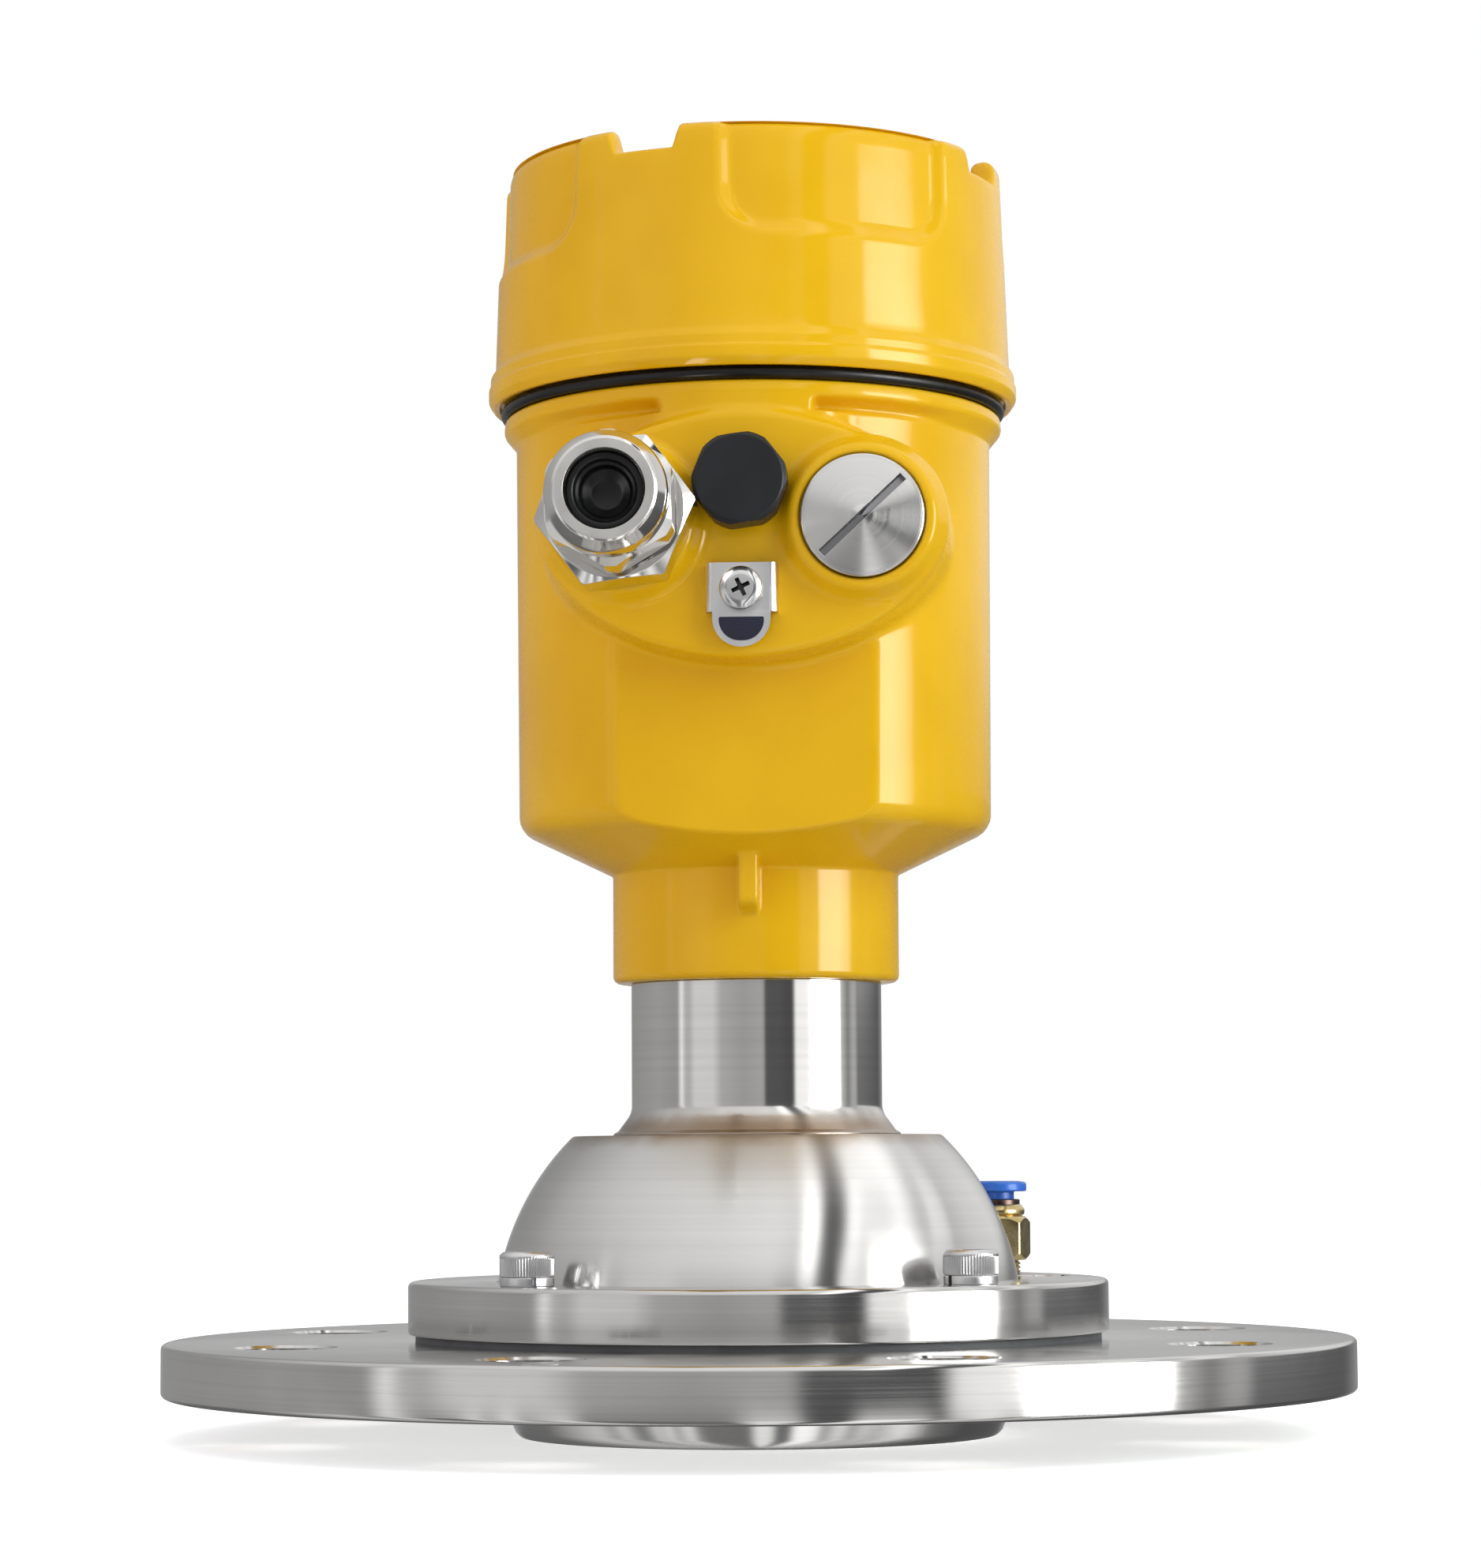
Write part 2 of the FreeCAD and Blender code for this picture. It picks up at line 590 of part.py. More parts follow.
def ball_joint():
    """Hollow ball: spherical zone, flat top for the neck, threaded mouth for the lens below."""
    height = BALL_TOP_Z - BALL_BOTTOM_Z
    zone = ball_space(BALL_RADIUS).common(disc(BALL_RADIUS + 1, BALL_BOTTOM_Z, BALL_BOTTOM_Z + height))
    hollow = ball_space(BALL_RADIUS - BALL_WALL).common(
        disc(BALL_RADIUS, LENS_SHOULDER_Z + 2, BALL_TOP_Z - BALL_WALL))
    zone = zone.cut(hollow)
    zone = zone.cut(disc(TUBE_OUTER_RADIUS - TUBE_WALL, BALL_CENTRE_Z, BALL_TOP_Z + 1))
    zone = zone.cut(disc(LENS_SHOULDER_RADIUS, BALL_BOTTOM_Z - 1, BALL_CENTRE_Z))
    return zone.cut(disc(LENS_THREAD_RADIUS + FIT_GAP, BALL_BOTTOM_Z - 1, LENS_SHOULDER_Z))


def lens_seal():
    return ring(LENS_SHOULDER_RADIUS, LENS_THREAD_RADIUS, LENS_SHOULDER_Z - LENS_SEAL, LENS_SHOULDER_Z)


def lens_antenna():
    """Lens with a flat wetted face and a domed inner face."""
    rim_top = LENS_SHOULDER_Z - LENS_SEAL
    rim_low = rim_top - LENS_RIM
    dome_foot = LENS_SHOULDER_RADIUS - FIT_GAP - 3 * HORN_WALL
    window = LENS_WINDOW_RADIUS - FIT_GAP
    face = BALL_BOTTOM_Z + LENS_RECESS
    flat = turned([(0, face), (window, face), (window, rim_low), (LENS_THREAD_RADIUS, rim_low),
                   (LENS_THREAD_RADIUS, rim_top), (0, rim_top)])
    dome_radius = (dome_foot ** 2 + LENS_DOME ** 2) / (2 * LENS_DOME)
    dome = Part.makeSphere(dome_radius, at(0, 0, rim_top + LENS_DOME - dome_radius))
    dome = dome.common(disc(dome_radius, rim_top, rim_top + LENS_DOME + 1))
    return flat.fuse(dome).removeSplitter()


def lens_retaining_ring():
    low = BALL_BOTTOM_Z
    collar = ring(LENS_WINDOW_RADIUS, LENS_THREAD_RADIUS, low, low + LENS_RING_HEIGHT)
    middle = (LENS_WINDOW_RADIUS + LENS_THREAD_RADIUS) / 2
    for index in range(4):
        x, y = polar(middle, 90 * index + 45)
        collar = collar.cut(disc(LENS_PIN_HOLE_RADIUS, low - 1, low + LENS_PIN_HOLE_DEPTH, x, y))
    return collar


def feed_horn():
    """Thin cone from the waveguide throat to the rim of the lens."""
    low = LENS_SHOULDER_Z - LENS_SEAL
    mouth = LENS_SHOULDER_RADIUS - FIT_GAP - HORN_WALL
    flare_low = low + HORN_RIM
    throat_z = BALL_TOP_Z - 2 * BALL_WALL
    top = BALL_TOP_Z + HORN_STANDS_OUT
    shell = [(mouth, low), (mouth + HORN_WALL, low), (mouth + HORN_WALL, flare_low),
             (HORN_THROAT_RADIUS + HORN_WALL, throat_z), (HORN_THROAT_RADIUS + HORN_WALL, top),
             (HORN_THROAT_RADIUS, top), (HORN_THROAT_RADIUS, throat_z), (mouth, flare_low)]
    return turned(shell)


def hf_module():
    """Microwave module that stands on the horn inside the neck tube."""
    low = BALL_TOP_Z + HORN_STANDS_OUT
    rim = TUBE_OUTER_RADIUS - TUBE_WALL - FIT_GAP
    can = rim - HF_STEP
    can_top = SPIGOT_TOP_Z - HF_PLUG_HEIGHT
    return turned([(0, low), (rim, low), (rim, low + HF_RIM_HEIGHT), (can, low + HF_RIM_HEIGHT),
                   (can, can_top, HF_EDGE), (HF_PLUG_RADIUS, can_top), (HF_PLUG_RADIUS, SPIGOT_TOP_Z),
                   (0, SPIGOT_TOP_Z)])


def neck_tube():
    """Stainless neck: flared foot welded to the ball, turned spigot that the head turns on."""
    inner = TUBE_OUTER_RADIUS - TUBE_WALL
    top = SPIGOT_TOP_Z + SPIGOT_STANDS_OUT
    groove_low = HEAD_BOTTOM_Z + NECK_SEAL_HEIGHT_UP
    groove_floor = SPIGOT_RADIUS - NECK_SEAL_DEPTH
    snap_floor = SPIGOT_RADIUS - SNAP_RING_REACH / 2
    flare = TUBE_OUTER_RADIUS + TUBE_FLARE
    tube = [(inner, BALL_TOP_Z), (flare, BALL_TOP_Z),
            (flare, BALL_TOP_Z + TUBE_FOOT_HEIGHT),
            (TUBE_OUTER_RADIUS, BALL_TOP_Z + TUBE_FLARE_HEIGHT, TUBE_FLARE_HEIGHT),
            (TUBE_OUTER_RADIUS, HEAD_BOTTOM_Z), (SPIGOT_RADIUS, HEAD_BOTTOM_Z),
            (SPIGOT_RADIUS, groove_low), (groove_floor, groove_low),
            (groove_floor, groove_low + NECK_SEAL_WIDTH), (SPIGOT_RADIUS, groove_low + NECK_SEAL_WIDTH),
            (SPIGOT_RADIUS, SPIGOT_TOP_Z), (snap_floor, SPIGOT_TOP_Z),
            (snap_floor, SPIGOT_TOP_Z + SNAP_RING_THICKNESS),
            (SPIGOT_RADIUS, SPIGOT_TOP_Z + SNAP_RING_THICKNESS),
            (SPIGOT_RADIUS, top, SPIGOT_EDGE), (inner, top)]
    return turned(tube)


def neck_seal():
    low = HEAD_BOTTOM_Z + NECK_SEAL_HEIGHT_UP
    return ring(SPIGOT_RADIUS - NECK_SEAL_DEPTH, SPIGOT_RADIUS, low, low + NECK_SEAL_WIDTH)


def neck_snap_ring():
    clip = ring(SPIGOT_RADIUS - SNAP_RING_REACH / 2, SPIGOT_RADIUS + SNAP_RING_REACH / 2, SPIGOT_TOP_Z,
                SPIGOT_TOP_Z + SNAP_RING_THICKNESS)
    gap = block(-SNAP_RING_GAP / 2, SNAP_RING_GAP / 2, 0, SPIGOT_RADIUS + SNAP_RING_REACH, SPIGOT_TOP_Z - 1,
                SPIGOT_TOP_Z + SNAP_RING_THICKNESS + 1)
    return clip.cut(gap)


def entry_pad():
    """Oval raised pad with softened front edge and a round boss at each side entry."""
    wire = Part.Ellipse(CENTRE, PAD_HALF_WIDTH, PAD_HALF_HEIGHT).toShape()
    pad = Part.Face(Part.Wire(wire)).extrude(at(0, 0, PAD_FACE_Y))
    front = [edge for edge in pad.Edges if edge.Closed and edge.CenterOfMass.z > PAD_FACE_Y - 0.01]
    pad = pad.makeFillet(PAD_EDGE, front)
    pad = to_front(pad, 0, PAD_CENTRE_Z)
    bosses = []
    for side in (-1, 1):
        root = PAD_FACE_Y / 2
        boss = turned([(0, root), (BOSS_FOOT_RADIUS, root), (BOSS_FOOT_RADIUS, PAD_FACE_Y),
                       (BOSS_FACE_RADIUS, BOSS_FACE_Y, BOSS_EDGE), (0, BOSS_FACE_Y)])
        bosses.append(to_front(boss, side * ENTRY_X, ENTRY_Z))
    return pad.fuse(bosses)


def housing_skin():
    """Outside of the cast housing before it is hollowed."""
    ledge = COLLAR_BOTTOM_Z - LEDGE_DEPTH
    skin = turned([
        (0, HEAD_BOTTOM_Z), (NECK_RADIUS, HEAD_BOTTOM_Z, NECK_EDGE), (NECK_RADIUS, NECK_TOP_Z, CONE_EDGE),
        (BODY_FOOT_RADIUS, BODY_FOOT_Z, BODY_FOOT_EDGE), (BODY_TOP_RADIUS, ledge, CONE_EDGE),
        (COLLAR_RADIUS, COLLAR_BOTTOM_Z, COLLAR_FOOT_EDGE), (COLLAR_RADIUS, COLLAR_TOP_Z, HOUSING_EDGE),
        (THREAD_RADIUS, COLLAR_TOP_Z), (THREAD_RADIUS, THREAD_TOP_Z, HOUSING_EDGE), (0, THREAD_TOP_Z)])
    facet = block(-COLLAR_RADIUS, COLLAR_RADIUS, -COLLAR_RADIUS - 5, -FACET_Y, NECK_TOP_Z - 5, ledge)
    skin = skin.cut(facet)
    rib_top = NECK_TOP_Z + RIB_ABOVE_NECK
    rib = block(-RIB_WIDTH / 2, RIB_WIDTH / 2, -RIB_REACH, 0, RIB_BOTTOM_Z, rib_top)
    corner = [edge for edge in rib.Edges if abs(edge.CenterOfMass.y + RIB_REACH) < 0.01
              and abs(edge.CenterOfMass.z - RIB_BOTTOM_Z) < 0.01]
    rib = rib.makeFillet(RIB_CORNER, corner)
    return skin.fuse([rib, entry_pad()]).removeSplitter()


def lock_screw_hole(radius, inner, outer):
    level = HEAD_BOTTOM_Z + LOCK_SCREW_HEIGHT_UP
    return Part.makeCylinder(radius, outer - inner, at(0, inner, level), at(0, 1, 0))


def housing():
    """Cast housing: neck bore for the spigot, round chamber, entries, threaded top."""
    floor = CAVITY_FLOOR_Z
    shell = housing_skin()
    chamber = disc(CAVITY_RADIUS, floor, THREAD_TOP_Z + 1)
    front_wall = block(-CAVITY_RADIUS, CAVITY_RADIUS, -CAVITY_RADIUS, -FACET_Y + FACET_WALL,
                       floor - 1, COLLAR_BOTTOM_Z - LEDGE_DEPTH)
    shell = shell.cut(chamber.cut(front_wall))
    shell = shell.cut(disc(SPIGOT_RADIUS + SPIGOT_GAP, HEAD_BOTTOM_Z - 1, SPIGOT_TOP_Z + 1))
    clip_room = SPIGOT_RADIUS + SNAP_RING_REACH / 2 + 2 * MOVING_GAP
    shell = shell.cut(disc(clip_room, SPIGOT_TOP_Z - MOVING_GAP, floor + 1))
    for side in (-1, 1):
        bore = disc(ENTRY_THREAD_RADIUS + FIT_GAP, FACET_Y - 2 * FACET_WALL, BOSS_FACE_Y + 1)
        shell = shell.cut(to_front(bore, side * ENTRY_X, ENTRY_Z))
    recess = disc(PLUG_HEAD_RADIUS + PLUG_GAP, BOSS_FACE_Y - PLUG_RECESS, BOSS_FACE_Y + 1)
    shell = shell.cut(to_front(recess, ENTRY_X, ENTRY_Z))
    vent = disc(VENT_THREAD_RADIUS + FIT_GAP, FACET_Y - 2 * FACET_WALL, PAD_FACE_Y + 1)
    shell = shell.cut(to_front(vent, 0, VENT_Z))
    earth = disc(EARTH_SCREW_RADIUS + FIT_GAP, PAD_FACE_Y - EARTH_HOLE_DEPTH, PAD_FACE_Y + 1)
    shell = shell.cut(to_front(earth, 0, EARTH_Z))
    return shell.cut(lock_screw_hole(LOCK_SCREW_RADIUS, SPIGOT_RADIUS - 1, NECK_RADIUS + 1))


def housing_lock_screw():
    end = NECK_RADIUS - LOCK_SCREW_INSET
    grub = lock_screw_hole(LOCK_SCREW_RADIUS - FIT_GAP, SPIGOT_RADIUS + MOVING_GAP, end)
    key = hexagon(LOCK_SCREW_SOCKET_FLATS, 0, LOCK_SCREW_SOCKET_DEPTH + 1)
    key.rotate(CENTRE, at(1, 0, 0), -90)
    key.translate(at(0, end - LOCK_SCREW_SOCKET_DEPTH, HEAD_BOTTOM_Z + LOCK_SCREW_HEIGHT_UP))
    return grub.cut(key)


def gland_body():
    """Hexagon body: thread in the housing behind, clamping spigot in front."""
    back = FACET_Y - FACET_WALL + GLAND_THREAD_OVERRUN
    seat = BOSS_FACE_Y + GLAND_GASKET
    thread = disc(ENTRY_THREAD_RADIUS, back, seat)
    nut = hexagon(GLAND_HEX_FLATS, seat, GLAND_HEX_FRONT_Y, GLAND_HEX_CORNERS)
    nut = cone_end(nut, GLAND_HEX_FLATS / 2 - GLAND_FACE_INSET, GLAND_HEX_EDGE, GLAND_HEX_FRONT_Y)
    nut.rotate(CENTRE, AXIS, GLAND_HEX_TURN)
    spigot = disc(GLAND_SPIGOT_RADIUS, GLAND_HEX_FRONT_Y, GLAND_HEX_FRONT_Y + GLAND_SPIGOT_LENGTH)
    solid = thread.fuse([nut, spigot]).removeSplitter()
    solid = solid.cut(disc(GLAND_BORE, back - 1, NUT_FRONT_Y))
    solid = solid.cut(disc(CAGE_OUTER_RADIUS + MOVING_GAP, NUT_BACK_Y, NUT_FRONT_Y))
    return to_front(solid, -ENTRY_X, ENTRY_Z)


def gland_gasket():
    outer = BOSS_FACE_RADIUS - BOSS_EDGE
    washer = ring(ENTRY_THREAD_RADIUS + FIT_GAP, outer, BOSS_FACE_Y, BOSS_FACE_Y + GLAND_GASKET)
    return to_front(washer, -ENTRY_X, ENTRY_Z)


def gland_cage():
    """Clamping cage: a sleeve slit into fingers at its front."""
    back = NUT_BACK_Y + MOVING_GAP
    front = NUT_FRONT_Y - NUT_LIP - MOVING_GAP
    inner = CAGE_OUTER_RADIUS - CAGE_WALL
    cage = ring(inner, CAGE_OUTER_RADIUS, back, front)
    slit_back = GLAND_HEX_FRONT_Y + GLAND_SPIGOT_LENGTH
    for index in range(4):
        slit = block(-CAGE_OUTER_RADIUS - 1, CAGE_OUTER_RADIUS + 1, -CAGE_SLIT / 2, CAGE_SLIT / 2,
                     slit_back, front + 1)
        cage = cage.cut(turned_about_z(slit, 45 * index))
    return to_front(cage, -ENTRY_X, ENTRY_Z)


def gland_seal_insert():
    """Rubber insert with a stepped dish that the cable is pushed through."""
    back = NUT_BACK_Y + MOVING_GAP
    front = NUT_FRONT_Y - NUT_LIP - MOVING_GAP
    outer = CAGE_OUTER_RADIUS - CAGE_WALL - FIT_GAP
    floor = front - CABLE_DISH_DEPTH
    rubber = turned([(CABLE_DISH_RADIUS, back), (outer, back), (outer, front, CABLE_EDGE),
                     (CABLE_DISH_RADIUS + CABLE_DISH_STEP, front, CABLE_EDGE),
                     (CABLE_DISH_RADIUS, front - CABLE_DISH_WALL_DEPTH), (0, floor),
                     (0, floor - CABLE_SKIN), (CABLE_DISH_RADIUS, floor - CABLE_SKIN + CABLE_EDGE)])
    return to_front(rubber, -ENTRY_X, ENTRY_Z)


def gland_nut():
    """Dome nut: hexagon behind, rounded nose with a flat ring round the mouth."""
    nose = NUT_BACK_Y + NUT_LENGTH * NUT_HEX_SHARE
    flats = hexagon(NUT_FLATS, NUT_BACK_Y, nose, 2 * (NUT_DOME_RADIUS + NUT_CORNER_STANDS_OUT))
    barrel_radius = NUT_DOME_RADIUS - NUT_BARREL_INSET
    barrel = turned([(0, NUT_BACK_Y), (barrel_radius, NUT_BACK_Y), (barrel_radius, nose),
                     (barrel_radius, NUT_FRONT_Y - NUT_NOSE_STEP, NUT_NOSE_RADIUS),
                     (NUT_FACE_RADIUS, NUT_FRONT_Y, NUT_FACE_EDGE), (0, NUT_FRONT_Y)])
    flats.rotate(CENTRE, AXIS, NUT_HEX_TURN)
    nut = barrel.fuse(flats).removeSplitter()
    nut = nut.cut(disc(GLAND_SPIGOT_RADIUS + MOVING_GAP, NUT_BACK_Y - 1,
                       GLAND_HEX_FRONT_Y + GLAND_SPIGOT_LENGTH + MOVING_GAP))
    nut = nut.cut(disc(CAGE_OUTER_RADIUS + MOVING_GAP, NUT_BACK_Y - 1, NUT_FRONT_Y - NUT_LIP))
    return to_front(nut.cut(disc(NUT_MOUTH_RADIUS, NUT_BACK_Y, NUT_FRONT_Y + 1)), -ENTRY_X, ENTRY_Z)


def blanking_plug():
    seat = BOSS_FACE_Y - PLUG_RECESS
    top = seat + PLUG_HEAD_HEIGHT
    end = seat - PLUG_THREAD_LENGTH
    plug = turned([(0, end), (ENTRY_THREAD_RADIUS, end), (ENTRY_THREAD_RADIUS, seat),
                   (PLUG_HEAD_RADIUS, seat), (PLUG_HEAD_RADIUS, top, PLUG_EDGE), (0, top)])
    half = PLUG_HEAD_RADIUS * PLUG_SLOT_SHARE
    slot = block(-half, half, -PLUG_SLOT_WIDTH / 2, PLUG_SLOT_WIDTH / 2, top - PLUG_SLOT_DEPTH, top + 1)
    plug = plug.cut(turned_about_z(slot, PLUG_SLOT_TURN))
    return to_front(plug, ENTRY_X, ENTRY_Z)


def vent_plug():
    """Plastic hexagon vent: side slots let air to the membrane seat inside."""
    foot = PAD_FACE_Y + VENT_SEAL
    top = PAD_FACE_Y + VENT_HEIGHT
    skirt_top = foot + VENT_SKIRT_HEIGHT
    head = hexagon(VENT_FLATS, skirt_top, top, VENT_CORNERS)
    head = cone_end(head, VENT_FLATS / 2 - VENT_FACE_INSET, VENT_HEX_EDGE, top)
    skirt = disc(VENT_SKIRT_RADIUS, foot, skirt_top)
    thread = disc(VENT_THREAD_RADIUS, PAD_FACE_Y - VENT_THREAD_LENGTH, foot)
    plug = thread.fuse([skirt, head]).removeSplitter()
    end = PAD_FACE_Y - VENT_THREAD_LENGTH
    plug = plug.cut(disc(VENT_THREAD_RADIUS - VENT_WALL, end - 1, foot + VENT_WALL))
    plug = turned_about_z(plug, VENT_HEX_TURN)
    return to_front(plug, 0, VENT_Z)


def vent_seal():
    outer = VENT_SKIRT_RADIUS - VENT_SEAL_INSET
    washer = ring(VENT_THREAD_RADIUS + FIT_GAP, outer, PAD_FACE_Y, PAD_FACE_Y + VENT_SEAL)
    return to_front(washer, 0, VENT_Z)


def vent_membrane():
    back = PAD_FACE_Y + MEMBRANE_Y_UP
    sheet = disc(VENT_THREAD_RADIUS - VENT_WALL - FIT_GAP, back, back + MEMBRANE_THICKNESS)
    return to_front(sheet, 0, VENT_Z)


def earth_saddle():
    """Pressed saddle: two ears folded back to the pad and a round tongue below."""
    front = PAD_FACE_Y + EARTH_STANDOFF
    ear_height = EARTH_PLATE_TOP_Z - EARTH_EAR_BOTTOM_Z
    outer = EARTH_EAR_X
    inner = EARTH_EAR_X - EARTH_SHEET
    under = front - EARTH_SHEET
    bend = EARTH_FOLD_RADIUS - EARTH_SHEET
    fold = [(-outer, PAD_FACE_Y), (-outer, front, EARTH_FOLD_RADIUS), (outer, front, EARTH_FOLD_RADIUS),
            (outer, PAD_FACE_Y), (inner, PAD_FACE_Y), (inner, under, bend), (-inner, under, bend),
            (-inner, PAD_FACE_Y)]
    channel = Part.Face(outline(fold)).extrude(at(0, ear_height, 0))
    channel.rotate(CENTRE, at(1, 0, 0), 90)
    channel.translate(at(0, 0, EARTH_EAR_BOTTOM_Z))
    width = EARTH_PLATE_HALF_WIDTH
    low = EARTH_TONGUE_BOTTOM_Z - EARTH_Z
    tongue = Part.Face(outline([(-width, 0), (-width, low, width - 0.05), (width, low, width - 0.05),
                                (width, 0)])).extrude(at(0, -EARTH_SHEET, 0))
    tongue.translate(at(0, -front + EARTH_SHEET, EARTH_Z))
    plate = channel.fuse(tongue).removeSplitter()
    hole = disc(EARTH_SCREW_RADIUS + FIT_GAP, PAD_FACE_Y, front + 1)
    return plate.cut(to_front(hole, 0, EARTH_Z))


def earth_label():
    front = PAD_FACE_Y + EARTH_STANDOFF
    half = LABEL_HALF_WIDTH
    top = EARTH_Z - LABEL_TOP
    low = EARTH_Z - LABEL_BOTTOM
    bow = half - LABEL_CORNER
    plate = Part.Face(outline([(-half, top, LABEL_CORNER), (-half, low, bow), (half, low, bow),
                               (half, top, LABEL_CORNER)])).extrude(at(0, -LABEL_THICKNESS, 0))
    plate.translate(at(0, -front, 0))
    return plate


def earth_screw():
    """Pan head screw with a cross recess."""
    seat = PAD_FACE_Y + EARTH_STANDOFF
    top = seat + EARTH_SCREW_HEAD_HEIGHT
    tip = PAD_FACE_Y - EARTH_SCREW_LENGTH
    screw = turned([(0, tip), (EARTH_SCREW_RADIUS, tip), (EARTH_SCREW_RADIUS, seat),
                    (EARTH_SCREW_HEAD_RADIUS, seat), (EARTH_SCREW_HEAD_RADIUS, top, EARTH_SCREW_DOME),
                    (0, top)])
    arm = block(-EARTH_CROSS_HALF, EARTH_CROSS_HALF, -EARTH_CROSS_WIDTH / 2, EARTH_CROSS_WIDTH / 2,
                top - EARTH_CROSS_DEPTH, top + 1)
    for turn in (EARTH_CROSS_TURN, EARTH_CROSS_TURN + 90):
        screw = screw.cut(turned_about_z(arm, turn))
    return to_front(screw, 0, EARTH_Z)


def cover_o_ring():
    low = COLLAR_TOP_Z
    half = O_RING_HALF_WIDTH
    top = low + 2 * half
    return turned([(O_RING_RADIUS - half, low, O_RING_EDGE), (O_RING_RADIUS + half, low, O_RING_EDGE),
                   (O_RING_RADIUS + half, top, O_RING_EDGE), (O_RING_RADIUS - half, top, O_RING_EDGE)])


def pocket_cutter(angle):
    """Shallow grip pocket: open at the top, round lower corners, constant depth."""
    half = POCKET_WIDTH / 2
    top = COVER_TOP_Z + 5
    reach = COVER_BEAD_RADIUS + 10
    frame = outline([(-half, top), (-half, POCKET_BOTTOM_Z, POCKET_CORNER),
                     (half, POCKET_BOTTOM_Z, POCKET_CORNER), (half, top)])
    window = Part.Face(frame).extrude(at(0, -reach, 0))
    floor_radius = COVER_WALL_TOP_RADIUS - POCKET_DEPTH
    foot_radius = floor_radius + (COVER_WALL_FOOT_RADIUS - COVER_WALL_TOP_RADIUS) / 2
    skin = turned([(foot_radius, POCKET_BOTTOM_Z - 1), (reach, POCKET_BOTTOM_Z - 1), (reach, top),
                   (floor_radius, top), (floor_radius, COVER_TOP_Z)])
    return turned_about_z(window.common(skin), angle)


def cover():
    """Screw cover: bead round the foot, grip pockets, notched rim, well for the sight glass."""
    well_low = GLASS_BOTTOM_Z - GLASS_RING_HEIGHT
    well_radius = GLASS_RADIUS + FIT_GAP + GLASS_WELL_WALL
    under = COVER_FLOOR_Z - COVER_FLOOR_THICKNESS
    thread_top = COVER_SKIRT_Z + COVER_THREAD_LENGTH
    rim_inner = COVER_WALL_TOP_RADIUS - COVER_RIM_WALL
    skirt_inner = O_RING_RADIUS + O_RING_HALF_WIDTH + MOVING_GAP
    o_ring_top = COLLAR_TOP_Z + 2 * O_RING_HALF_WIDTH
    shell = turned([
        (GLASS_HOLE_RADIUS, under), (GLASS_RADIUS + FIT_GAP, under), (GLASS_RADIUS + FIT_GAP, well_low),
        (well_radius, well_low), (well_radius, under), (COVER_CAVITY_RADIUS, under, COVER_WALL_EDGE),
        (COVER_CAVITY_RADIUS, thread_top), (COVER_BORE_RADIUS, thread_top), (COVER_BORE_RADIUS, o_ring_top),
        (skirt_inner, o_ring_top), (skirt_inner, COVER_SKIRT_Z),
        (COVER_BEAD_RADIUS - COVER_SKIRT_EDGE, COVER_SKIRT_Z - COVER_SKIRT_DROP, COVER_SMALL_EDGE),
        (COVER_BEAD_RADIUS, COVER_SKIRT_Z + COVER_SKIRT_RISE, COVER_BEAD_EDGE),
        (COVER_BEAD_RADIUS, COVER_BEAD_TOP_Z, COVER_SKIRT_EDGE),
        (COVER_WALL_FOOT_RADIUS, COVER_BEAD_TOP_Z + COVER_SKIRT_RISE, COVER_WALL_EDGE),
        (COVER_WALL_TOP_RADIUS, COVER_TOP_Z, COVER_WALL_EDGE), (rim_inner, COVER_TOP_Z, COVER_RIM_EDGE),
        (rim_inner, COVER_FLOOR_Z, COVER_SKIRT_EDGE), (GLASS_HOLE_RADIUS, COVER_FLOOR_Z, COVER_SMALL_EDGE)])
    for index in range(POCKET_COUNT):
        turn = POCKET_ANGLE + 360 / POCKET_COUNT * index
        shell = shell.cut(pocket_cutter(turn))
        notch = block(-NOTCH_WIDTH / 2, NOTCH_WIDTH / 2, -COVER_BEAD_RADIUS, -rim_inner + COVER_RIM_EDGE,
                      COVER_TOP_Z - NOTCH_DEPTH, COVER_TOP_Z + 1)
        shell = shell.cut(turned_about_z(notch, turn + 180 / POCKET_COUNT))
    return shell


def glass_gasket():
    return ring(GLASS_HOLE_RADIUS, GLASS_RADIUS - FIT_GAP, GLASS_TOP_Z, GLASS_TOP_Z + GLASS_SEAL)


def sight_glass():
    return turned([(0, GLASS_BOTTOM_Z), (GLASS_RADIUS, GLASS_BOTTOM_Z, GLASS_EDGE),
                   (GLASS_RADIUS, GLASS_TOP_Z, GLASS_EDGE), (0, GLASS_TOP_Z)])


def glass_retaining_ring():
    low = GLASS_BOTTOM_Z - GLASS_RING_HEIGHT
    collar = ring(GLASS_HOLE_RADIUS, GLASS_RADIUS, low, GLASS_BOTTOM_Z)
    for index in range(2):
        slot = block(GLASS_HOLE_RADIUS - 1, GLASS_RADIUS - GLASS_RING_SLOT_WALL, -GLASS_RING_SLOT_WIDTH / 2,
                     GLASS_RING_SLOT_WIDTH / 2, low - 1, low + GLASS_RING_SLOT_DEPTH)
        collar = collar.cut(turned_about_z(slot, 180 * index))
    return collar


def electronics_module():
    """Potted cup: round, with its front half stepped down to carry the terminals."""
    cup = turned([(0, CAVITY_FLOOR_Z), (MODULE_RADIUS, CAVITY_FLOOR_Z, MODULE_FOOT_EDGE),
                  (MODULE_RADIUS, MODULE_TOP_Z, MODULE_EDGE), (0, MODULE_TOP_Z)])
    reach = MODULE_RADIUS + 1
    front = block(-reach, reach, -reach, MODULE_STEP_Y, MODULE_STEP_Z, MODULE_TOP_Z + 1)
    return cup.cut(front)


def terminal_centres():
    pitch = TERMINAL_LENGTH / TERMINAL_COUNT
    return [pitch * (index - (TERMINAL_COUNT - 1) / 2) for index in range(TERMINAL_COUNT)]


